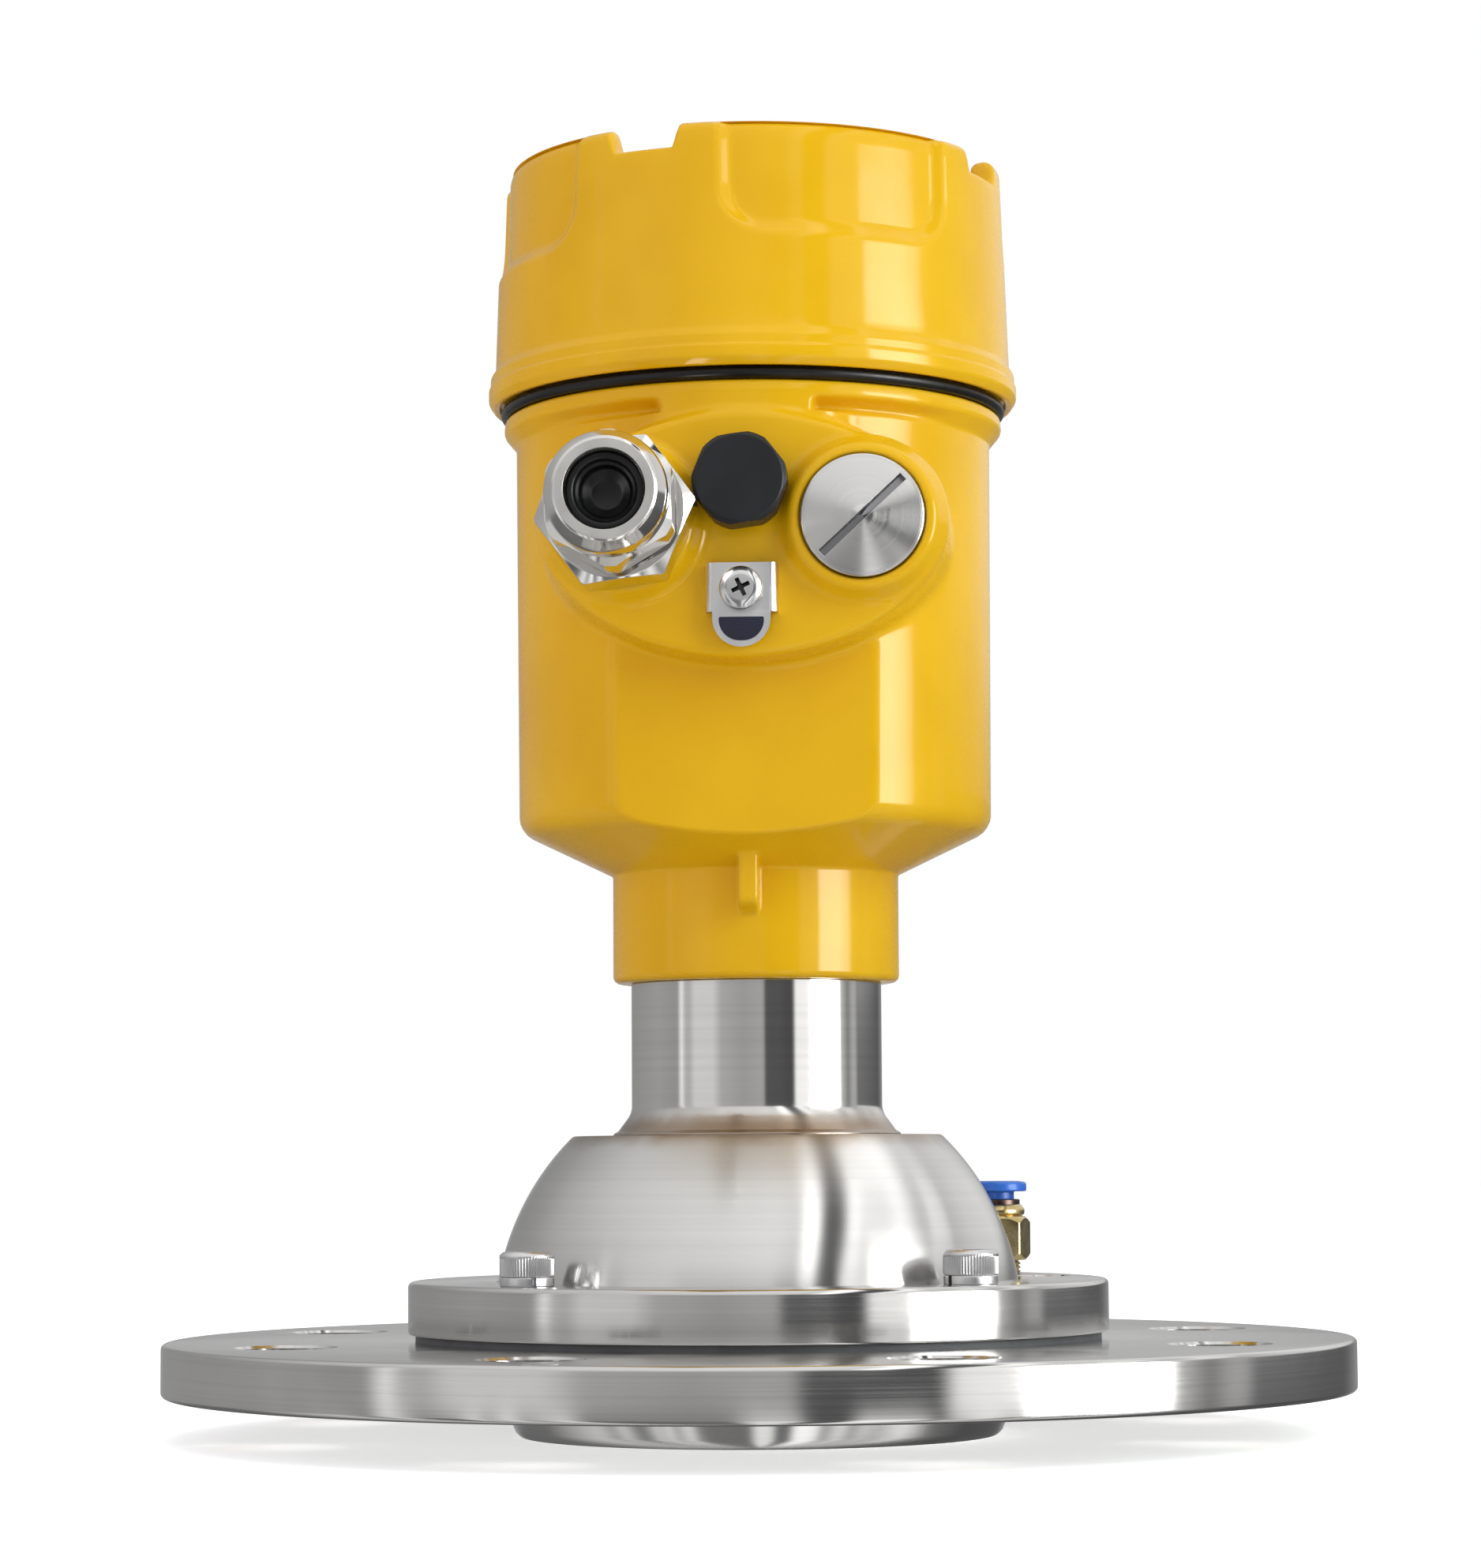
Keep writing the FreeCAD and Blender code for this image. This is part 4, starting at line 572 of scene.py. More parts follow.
@dataclass(frozen=True)
class RecessedSteel(TurnedSteel):
    """Screw head whose driver recess is rougher and darkened with painted shade.

    The recess is given by its radius and by how far in front of the axis its face stands.
    """

    recess: tuple[float, float] = (2.1, 53.1)
    # Colour of the painted shade in the driver recess.
    recess_painted_shade: str = "4C4C4E"

    def dress(self, sheet: MaterialSheet) -> None:
        """Turned marks; inside the recess, rougher, and darker in colour with painted shade."""
        super().dress(sheet)
        _, radius = sheet.turned_place(self.facing, self.centre)
        # Painted shade: the recess is darkened in colour behind its face.
        reach, face = self.recess
        inner = sheet.span(radius, (reach - 0.1) * MM, (reach + 0.1) * MM, 1.0, 0.0)
        deep = sheet.span(sheet.split(sheet.place())[1], -(face + 0.1) * MM, -(face - 0.2) * MM)
        hollow = sheet.maths("MULTIPLY", inner, deep)
        sheet.set(Base_Color=sheet.blend(hollow, shade(self.colour), shade(self.recess_painted_shade)))
        sheet.set(Roughness=sheet.maths("MULTIPLY_ADD", hollow, 0.2, 0.2))


@dataclass(frozen=True)
class WeldedSteel(TurnedSteel):
    """Turned steel with a brown heat tint beside a weld.

    The four numbers of dull are two heights and the roughness at each.
    """

    weld_z: float = 47.6
    rise: float = 2.2
    uneven: float = 3.2
    reach: float = 4.2
    brown: str = "8C7256"
    dull: tuple[float, float, float, float] = (48.6, 53.6, 0.33, 0.1)

    def dress(self, sheet: MaterialSheet) -> None:
        """Turned marks, duller towards the weld."""
        super().dress(sheet)
        low, high, first, last = self.dull
        height = sheet.split(sheet.place())[2]
        sheet.set(Roughness=sheet.span(height, low * MM, high * MM, first, last))

    def tint(self, sheet: MaterialSheet, colour: Socket) -> Socket:
        """Brown that fades with height, broken up by noise."""
        place = sheet.place()
        height = sheet.split(place)[2]
        uneven = sheet.maths("MULTIPLY", sheet.noise(place, 120.0, 3.0), self.uneven * MM)
        height = sheet.maths("ADD", height, uneven)
        away = sheet.maths("ABSOLUTE", sheet.maths("SUBTRACT", height, (self.weld_z + self.rise) * MM))
        return sheet.blend(sheet.span(away, 0.0, self.reach * MM, 0.75, 0.0), colour, shade(self.brown))


@dataclass(frozen=True)
class PlainMetal(Finish):
    """Bright or bare metal without a turning direction: plating, brass, sheet, screws."""

    colour: str = "CFCDC9"
    dark: str = "B9B7B4"
    roughness: tuple[float, float] = (0.05, 0.12)
    grain_scale: float = 900.0
    grain_depth: float = 1.0e-6
    matt_ring: tuple[float, float] = (0.0, 0.0)
    centre: Triple = (0.0, 0.0, 0.0)
    matt_roughness: float = 0.3

    def dress(self, sheet: MaterialSheet) -> None:
        """Clouded colour and gloss, fine grain, and a matt turned ring where one is given."""
        place = sheet.place()
        cloud = sheet.noise(place, 160.0, 4.0)
        sheet.set(Base_Color=sheet.blend(sheet.span(cloud, 0.3, 0.7), shade(self.dark), shade(self.colour)),
                  Metallic=1.0)
        rough = sheet.span(cloud, 0.3, 0.7, *self.roughness)
        inner, face = self.matt_ring
        if face:
            radius = sheet.turned_place(Facing.FRONT, self.centre)[1]
            outside = sheet.span(radius, inner * MM, (inner + 0.1) * MM)
            ahead = sheet.span(sheet.split(place)[1], (face + 0.15) * MM, (face + 0.05) * MM)
            ring = sheet.maths("MULTIPLY", outside, ahead)
            rough = sheet.maths("MULTIPLY_ADD", ring, self.matt_roughness, rough)
        sheet.set(Roughness=rough)
        sheet.set(Normal=sheet.bump(sheet.noise(place, self.grain_scale, 2.0), self.grain_depth))


@dataclass(frozen=True)
class Moulded(Finish):
    """Moulded plastic, rubber or enamel: clouded colour, matt grain."""

    colour: str = "1F2023"
    dark: str = "17181A"
    roughness: tuple[float, float] = (0.38, 0.5)
    grain_scale: float = 2200.0
    grain_depth: float = 1.2e-5
    through: float = 0.0
    gloss: float = 0.5

    def dress(self, sheet: MaterialSheet) -> None:
        """Grain in the colour, the gloss and the normal."""
        place = sheet.place()
        cloud = sheet.span(sheet.noise(place, 140.0, 3.0), 0.3, 0.7)
        grain = sheet.noise(place, self.grain_scale, 2.0)
        sheet.set(Base_Color=sheet.blend(cloud, shade(self.dark), shade(self.colour)),
                  Roughness=sheet.span(grain, 0.3, 0.7, *self.roughness), Specular_IOR_Level=self.gloss,
                  Normal=sheet.bump(grain, self.grain_depth))
        if self.through:
            sheet.set(Subsurface_Weight=self.through, Subsurface_Radius=(0.002, 0.0015, 0.001),
                      Subsurface_Scale=1.0)


@dataclass(frozen=True)
class ClearGlass(Finish):
    """Flat toughened glass with faint wipe marks."""

    colour: str = "F2F7F5"

    def dress(self, sheet: MaterialSheet) -> None:
        """Clear, with a roughness that clouds very slightly."""
        smear = sheet.noise(sheet.place(), 70.0, 4.0)
        sheet.set(Base_Color=sheet.blend(smear, shade(self.colour), shade("FFFFFF")), IOR=1.5,
                  Transmission_Weight=1.0, Roughness=sheet.span(smear, 0.4, 0.8, 0.0, 0.02))


@dataclass(frozen=True)
class ScreenFace(Finish):
    """Unlit liquid crystal window: grey-green, with its pixel field a little darker."""

    colour: str = "6E7A66"
    dark: str = "5F6A5A"
    pixels: float = 9000.0

    def dress(self, sheet: MaterialSheet) -> None:
        """Fine pixel grid in the middle of the window."""
        place = sheet.place()
        waves = [sheet.maths("SINE", sheet.maths("MULTIPLY", along, self.pixels))
                 for along in sheet.split(place)[:2]]
        tone = sheet.span(sheet.maths("MAXIMUM", *waves), 0.7, 1.0, 0.0, 0.35)
        colour = sheet.blend(tone, shade(self.colour), shade(self.dark))
        sheet.set(Base_Color=colour, Roughness=sheet.span(sheet.noise(place, 300.0), 0.3, 0.7, 0.12, 0.2),
                  Coat_Weight=0.6, Coat_Roughness=0.05)


class Looks:
    """Every finish of the object, by the piece that it is on."""

    paint = PowderCoat("yellow_powder_coat", "yellow_paint")
    flange = TurnedSteel("turned_flange_steel", "stainless_turned", roughness=(0.12, 0.18),
                         band_scale=700.0, groove_depth=2.0e-6, anisotropy=0.88)
    ball = WeldedSteel("fine_turned_ball_steel", "stainless_ball", colour="CFCECC", dark="CAC9C7",
                       band_scale=900.0, groove_depth=0.6e-6, anisotropy=0.95,
                       dull=(30.0, 46.0, 0.18, 0.34))
    earth_screw = RecessedSteel("zinc_plated_pan_screw", "screw_steel", Facing.FRONT, (0.0, 0.0, 142.9),
                                colour="CFCFCF", dark="BCBCBD", roughness=(0.16, 0.26))
    neck = WeldedSteel("welded_neck_steel", "stainless_tube", colour="D0CFCD", dark="C7C6C4",
                       groove_depth=0.8e-6)
    screws = PlainMetal("screw_steel", "screw_steel", colour="D6D6D7", dark="C6C6C8", roughness=(0.3, 0.4))
    sheet_steel = PlainMetal("pressed_sheet_steel", "stainless_sheet", colour="E6E6E6", dark="DADADB",
                             roughness=(0.3, 0.36))
    nickel = PlainMetal("bright_nickel", "nickel_brass", colour="D9D7D3", dark="CFCDC9",
                        matt_ring=(6.5, -85.7), centre=(-21.5, 0.0, 155.6))
    brass = PlainMetal("bare_brass", "bare_brass", colour="CDBB8C", dark="B7A470", roughness=(0.2, 0.32),
                       grain_depth=3.0e-6)
    dark_ring = PlainMetal("dark_plated_ring", "dark_metal", colour="5A4A44", dark="443832",
                           roughness=(0.25, 0.35))
    blue = Moulded("blue_moulding", "blue_plastic", colour="2B6BD0", dark="2461C4", roughness=(0.3, 0.4),
                   grain_depth=4.0e-6, through=0.15)
    rubber = Moulded("black_rubber", "black_rubber", colour="171719", dark="101011", roughness=(0.28, 0.38),
                     grain_scale=900.0, grain_depth=4.0e-6, gloss=0.3)
    vent = Moulded("black_vent_plastic", "black_plastic", colour="1E1F23", dark="18191C",
                   roughness=(0.34, 0.44), grain_depth=5.0e-6, gloss=0.3)
    grey_plastic = Moulded("grey_moulding", "grey_plastic", colour="A4A8AA", dark="989C9E")
    ptfe = Moulded("white_ptfe", "seat_ptfe", colour="F0EFEA", dark="E6E5DF", roughness=(0.3, 0.4),
                   grain_depth=3.0e-6, through=0.2)
    lens = Moulded("natural_lens_plastic", "lens_plastic", colour="E0D8C0", dark="D6CDB2",
                   roughness=(0.32, 0.42), grain_depth=3.0e-6, through=0.2)
    fibre = Moulded("grey_fibre_sheet", "gasket_fibre", colour="56575A", dark="4A4B4E", roughness=(0.5, 0.62))
    enamel = Moulded("dark_blue_enamel", "label_blue", colour="1C1D33", dark="18192C", roughness=(0.2, 0.28),
                     grain_depth=1.0e-6)
    keys = Moulded("key_moulding", "key_plastic", colour="8E9092", dark="828486")
    aluminium = PlainMetal("machined_aluminium", "horn_aluminium", colour="D2D3D4", dark="C4C5C6",
                           roughness=(0.25, 0.35))
    glass = ClearGlass("sight_glass", "sight_glass")
    screen = ScreenFace("liquid_crystal", "screen_glass")
    plug = FacedSteel("faced_plug_steel", "stainless_faced", facing=Facing.FRONT, centre=(21.5, 0.0, 155.6),
                      colour="D2D1CF", dark="C2C1BF", fine_scale=1500.0, band_scale=800.0,
                      groove_depth=5.0e-6, anisotropy=0.85)


class Bench:
    """Turns finished forms into pieces that ride on the CAD's bodies."""

    def piece(self, form: Form, name: str, body: str, finish: Finish, replaces: Iterable[str] = (),
              edge: float = 0.0, sharp: float = 35.0) -> bpy.types.Object:
        """Make a piece.

        Args:
            form: The shape, in millimetres; it is used up.
            name: Name of the piece.
            body: CAD body that it rides on.
            finish: What it is made of.
            replaces: CAD nodes that it stands for.
            edge: Width of a live bevel on its sharp edges, in millimetres.
            sharp: Angle in degrees from which an edge is shaded sharp.

        Returns:
            The object.
        """
        form.settle()
        form.warn_if_open(name)
        mesh = form.hand_over(name)
        mesh.shade_smooth()
        mesh.set_sharp_from_angle(angle=math.radians(sharp))
        mesh.materials.append(finish.material())
        piece = put_in_scene(name, mesh)
        if edge:
            bevel = piece.modifiers.new("soft edges", "BEVEL")
            bevel.width = edge * MM
            bevel.segments = 2
            bevel.limit_method = "ANGLE"
            bevel.angle_limit = math.radians(30)
            bevel.harden_normals = True
        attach(piece, body)
        if replaces:
            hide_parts(*replaces)
        LOG.info("%-28s %7d faces on %s", name, len(mesh.polygons), body)
        return piece

    def dress(self, finish: Finish, *nodes: str) -> None:
        """Give CAD nodes a better material."""
        for name in nodes:
            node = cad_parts[name]
            for slot in node.material_slots:
                slot.material = finish.material()
            LOG.info("%-28s keeps its CAD shape, dressed as %s", name, finish.name)


@dataclass
class ProcessFlange:
    """DN100 flange with its clamp ring, gasket line and screws."""

    radius: float = 110.0
    thickness: float = 9.6
    bolt_circle: float = 90.0
    bolt_hole: float = 9.0
    clamp_radius: float = 64.9
    clamp_low: float = 10.8
    clamp_top: float = 20.4
    seat: float = 49.3
    seat_centre: float = 12.0
    screw_circle: float = 55.5
    screw_angles: tuple[float, ...] = (-45.0, -135.0, 53.0, 127.0)
    screw_radius: float = 2.95
    head_radius: float = 4.9
    head_height: float = 4.5
    washer: float = 1.6
    port: tuple[float, float, float] = (55.0, 15.0, 4.3)
    purge: tuple[float, float, float] = (57.0, 38.5, 4.3)
    channel: float = 1.5
    teeth: int = 58
    knurl: float = 3.2
    knurl_depth: float = 0.15

    def build(self, bench: Bench) -> None:
        """Make the flange, the clamp ring, the screws and their washers."""
        bench.piece(self.main_flange(), "process_flange", "base", Looks.flange, ["main_flange"])
        bench.piece(self.clamp_ring(), "ball_clamp_ring", "base", Looks.flange, ["clamp_ring"])
        screws, washers = Form(), Form()
        for index, angle in enumerate(self.screw_angles):
            x, y = polar(self.screw_circle, angle)
            screws.add(self.screw(17 * index).shift(x, y))
            washers.add(self.spring_washer().turn(70 * index + 130).shift(x, y))
        bench.piece(screws, "clamp_ring_screws", "base", Looks.screws, ["clamp_screws"], sharp=50)
        bench.piece(washers, "split_washers", "base", Looks.screws, ["clamp_spring_washers"])
        bench.dress(Looks.fibre, "clamp_gasket")
        bench.dress(Looks.ptfe, "ball_seat_ring")

    def seat_radius(self, height: float) -> float:
        """Radius of the ball seat at a height."""
        return math.sqrt(self.seat ** 2 - (height - self.seat_centre) ** 2)

    def hole(self, radius: float, low: float, high: float, lip: float) -> Form:
        """Drill with a chamfer at both ends of a through hole."""
        wide = radius + lip
        return Form.turned([(0, low - 1), (wide, low - 1), (wide, low), (radius, low + lip),
                            (radius, high - lip), (wide, high), (wide, high + 1), (0, high + 1)], 64)

    def port_drill(self, radius: float) -> Form:
        """Port with a chamfered mouth over a thin channel."""
        top, floor = self.clamp_top, self.clamp_low - 1
        return Form.turned([
            (0, floor), (self.channel, floor), (self.channel, top - 7), (radius, top - 6),
            (radius, top - 0.8), (radius + 0.9, top), (radius + 0.9, top + 1), (0, top + 1)], 64)

    @staticmethod
    def spread(drill: Callable[[], Form], circle: float, angles: Iterable[float]) -> list[Form]:
        """One drill at each angle of a circle."""
        return [drill().shift(*polar(circle, angle)) for angle in angles]

    def main_flange(self) -> Form:
        """Round plate, ball seat, counterbore for the seat ring and eight bolt holes."""
        step = self.thickness - 5.0
        plate = Form.turned([
            (self.seat_radius(0), 0, 0.4), (self.seat_radius(2), 2), (self.seat_radius(step), step),
            (self.seat + 2.5, step), (self.seat + 2.5, self.thickness, 0.3),
            (self.radius, self.thickness, 0.9), (self.radius, 0, 0.9)], 384)
        bolts = self.spread(lambda: self.hole(self.bolt_hole, 0, self.thickness, 0.5),
                            self.bolt_circle, [45 * index + 22.5 for index in range(8)])
        threads = self.spread(lambda: Form.disc(self.screw_radius + 0.05, 2.6, self.thickness + 1, 48),
                              self.screw_circle, self.screw_angles)
        return plate.work(Work.CUT, *bolts, *threads)

    def clamp_ring(self) -> Form:
        """Ring over the ball, with screw holes, the port of the air fitting and the open port."""
        ring = Form.turned([
            (self.seat_radius(self.clamp_low), self.clamp_low), (self.seat_radius(14), 14),
            (self.seat_radius(17), 17), (self.seat_radius(self.clamp_top), self.clamp_top, 0.3),
            (self.clamp_radius, self.clamp_top, 1.0), (self.clamp_radius, self.clamp_low, 0.5)], 320)
        drills = self.spread(lambda: self.hole(self.screw_radius + 0.35, self.clamp_low, self.clamp_top, 0.3),
                             self.screw_circle, self.screw_angles)
        for circle, angle, radius in (self.port, self.purge):
            drills.append(self.port_drill(radius).shift(*polar(circle, angle)))
        return ring.work(Work.CUT, *drills)

    def screw(self, turn: float) -> Form:
        """Socket screw: knurled head with a smooth band and a hexagon socket."""
        seat = self.clamp_top + self.washer
        top = seat + self.head_height
        knurl_top = seat + self.knurl
        head = self.head_radius
        blank = Form.turned([
            (0, 3.1), (self.screw_radius, 3.1), (self.screw_radius, seat), (head - 0.35, seat, 0.2),
            (head, seat + 0.35), (head, knurl_top), (head, knurl_top + 0.3), (head, top - 0.6),
            (head - 0.7, top, 0.4), (0, top)], self.teeth * 4, segments=3)
        places = blank.places()
        radius = np.hypot(places[:, 0], places[:, 1])
        angle = np.arctan2(places[:, 1], places[:, 0])
        knurled = (np.abs(radius - head) < 0.02) & (places[:, 2] < knurl_top + 0.1)
        inward = np.where(knurled, self.knurl_depth * (1 - np.cos(angle * self.teeth)), 0.0)
        places[:, :2] *= (1 - inward / np.maximum(radius, 0.1))[:, None]
        blank.move_to(places)
        socket = Form.hexagon(5.0, top - 2.6, top + 1)
        return blank.work(Work.CUT, socket).turn(turn)

    def spring_washer(self) -> Form:
        """Split ring of square wire."""
        low, high = self.clamp_top, self.clamp_top + self.washer
        ring = Form.turned([(self.screw_radius + 0.05, low, 0.15), (self.head_radius - 0.1, low, 0.2),
                            (self.head_radius - 0.1, high, 0.2), (self.screw_radius + 0.05, high, 0.15)], 96)
        return ring.work(Work.CUT, Form.block(0.9, 6, low - 1, high + 1).shift(y=4.2))


@dataclass
class PurgeFitting:
    """Push-in air fitting on the clamp ring."""

    circle: float = 57.0
    angle: float = 38.5
    seat: float = 20.4
    hex_low: float = 22.9
    hex_top: float = 31.3
    flats: float = 12.0
    shoulder_top: float = 33.6
    shoulder_radius: float = 5.6
    tube: float = 3.05
    collar_low: float = 36.1
    collar_thickness: float = 2.0

    def build(self, bench: Bench) -> None:
        """Make the brass body, its dark ring and the release collar."""
        x, y = polar(self.circle, self.angle)
        bench.piece(self.body().shift(x, y), "air_fitting_body", "base", Looks.brass, ["purge_fitting_body"],
                    edge=0.12)
        bench.piece(self.ring().shift(x, y), "air_fitting_ring", "base", Looks.dark_ring,
                    ["purge_fitting_ring"])
        bench.piece(self.collar().shift(x, y), "air_release_collar", "release_collar", Looks.blue,
                    ["purge_release_collar"])
        bench.dress(Looks.rubber, "purge_tube_seal")
        bench.dress(Looks.screws, "purge_collet")

    def body(self) -> Form:
        """Threaded shank, hexagon turned at both ends, rounded shoulder, stepped socket."""
        foot = self.seat - 6.0
        nut = chamfered_hexagon(self.flats, self.hex_low, self.hex_top, 13.6, 1.2, both=True).turn(12)
        shank_profile = [(0, foot), (4.25, foot), (4.25, self.seat)]
        level = self.seat + 0.1
        while level + 0.7 < self.hex_low:
            shank_profile += [(4.75, level + 0.15), (4.75, level + 0.35), (4.3, level + 0.6)]
            level += 0.75
        shank = Form.turned(shank_profile + [(4.3, self.hex_low + 0.5), (0, self.hex_low + 0.5)], 96)
        wide, top, end = self.shoulder_radius, self.shoulder_top, self.hex_top
        shoulder = Form.turned([
            (0, end - 0.5), (5.15, end - 0.5), (5.15, end + 0.15), (wide, end + 0.5, 0.5),
            (wide, top - 0.9, 0.8), (4.9, top, 0.2), (0, top)], 96)
        nut.work(Work.JOIN, shank).work(Work.JOIN, shoulder)
        socket = Form.turned([
            (0, foot - 1), (1.5, foot - 1), (1.5, top - 12), (self.tube, top - 12),
            (self.tube, top - 9), (4.0, top - 9), (4.0, top + 1), (0, top + 1)], 96)
        return nut.work(Work.CUT, socket)

    def ring(self) -> Form:
        """Dark ring pressed into the shoulder."""
        low, high = self.shoulder_top, self.shoulder_top + 1.0
        return Form.turned([(3.9, low), (4.7, low), (4.7, high, 0.2), (3.9, high, 0.2)], 96)

    def collar(self) -> Form:
        """Blue collar: thin stem in the socket, flat head with a rounded rim."""
        top = self.collar_low + self.collar_thickness
        return Form.turned([
            (self.tube + 0.05, self.shoulder_top - 4.2), (3.6, self.shoulder_top - 4.2),
            (3.6, self.collar_low, 0.3), (6.0, self.collar_low, 0.35), (6.0, top - 0.25, 0.5),
            (4.4, top, 0.3), (self.tube + 0.05, top - 0.2, 0.4)], 128)


@dataclass
class BallJoint:
    """Hollow ball, its neck and the antenna parts that its mouth shows."""

    radius: float = 49.0
    centre_z: float = 12.0
    low: float = -8.1
    top: float = 47.0
    bore: float = 18.5
    wall: float = 4.5
    shoulder: float = -0.8
    tube: float = 23.35
    tube_top: float = 75.3
    flare: float = 3.1
    flare_height: float = 4.3
    spigot: float = 21.5
    spigot_top: float = 97.0
    arc_rows: int = 72

    def build(self, bench: Bench) -> None:
        """Make the ball and the neck, dress what they hold."""
        bench.piece(self.ball(), "antenna_ball_shell", "antenna_ball", Looks.ball, ["ball_joint"])
        bench.piece(self.neck(), "neck_tube_welded", "antenna_ball", Looks.neck, ["neck_tube"])
        bench.dress(Looks.rubber, "lens_seal", "neck_seal")
        bench.dress(Looks.lens, "lens_antenna")
        bench.dress(Looks.ball, "lens_retaining_ring")
        bench.dress(Looks.aluminium, "feed_horn", "hf_module")
        bench.dress(Looks.screws, "neck_snap_ring")

    def arc(self, radius: float, low: float, high: float, rows: int) -> list[tuple[float, float]]:
        """Points of the sphere's outline between two heights."""
        first = math.asin((low - self.centre_z) / radius)
        last = math.asin((high - self.centre_z) / radius)
        turns = [first + (last - first) * row / rows for row in range(rows + 1)]
        return [(radius * math.cos(turn), self.centre_z + radius * math.sin(turn)) for turn in turns]

    def ball(self) -> Form:
        """Spherical zone with a flat top, hollow inside, threaded mouth below."""
        outside = self.arc(self.radius, self.low + 0.9, self.top - 0.25, self.arc_rows)
        inside = self.arc(self.radius - self.wall, self.shoulder + 2.0, self.top - self.wall, 24)[::-1]
        foot = outside[0][0]
        rim = outside[-1][0]
        profile: list[tuple[float, ...]] = [(39.65, self.low, 0.3), (foot - 0.9, self.low, 0.5)]
        profile += outside
        profile += [(rim - 0.45, self.top), (self.bore, self.top), (self.bore, self.top - self.wall)]
        profile += inside
        profile += [(36.6, self.shoulder + 2.0), (36.6, self.shoulder), (39.65, self.shoulder)]
        return Form.turned(profile, 320)

    def neck(self) -> Form:
        """Tube with a flared foot, a small weld bead and a turned spigot."""
        foot = self.tube + self.flare
        low = self.top
        return Form.turned([
            (self.bore, low), (foot + 0.3, low), (foot + 0.35, low + 0.35, 0.3), (foot - 0.6, low + 0.9, 0.5),
            (self.tube, low + self.flare_height, 3.6), (self.tube, self.tube_top, 0.2),
            (self.spigot, self.tube_top), (self.spigot, self.spigot_top, 0.6), (self.bore, self.spigot_top)],
            256, segments=10)


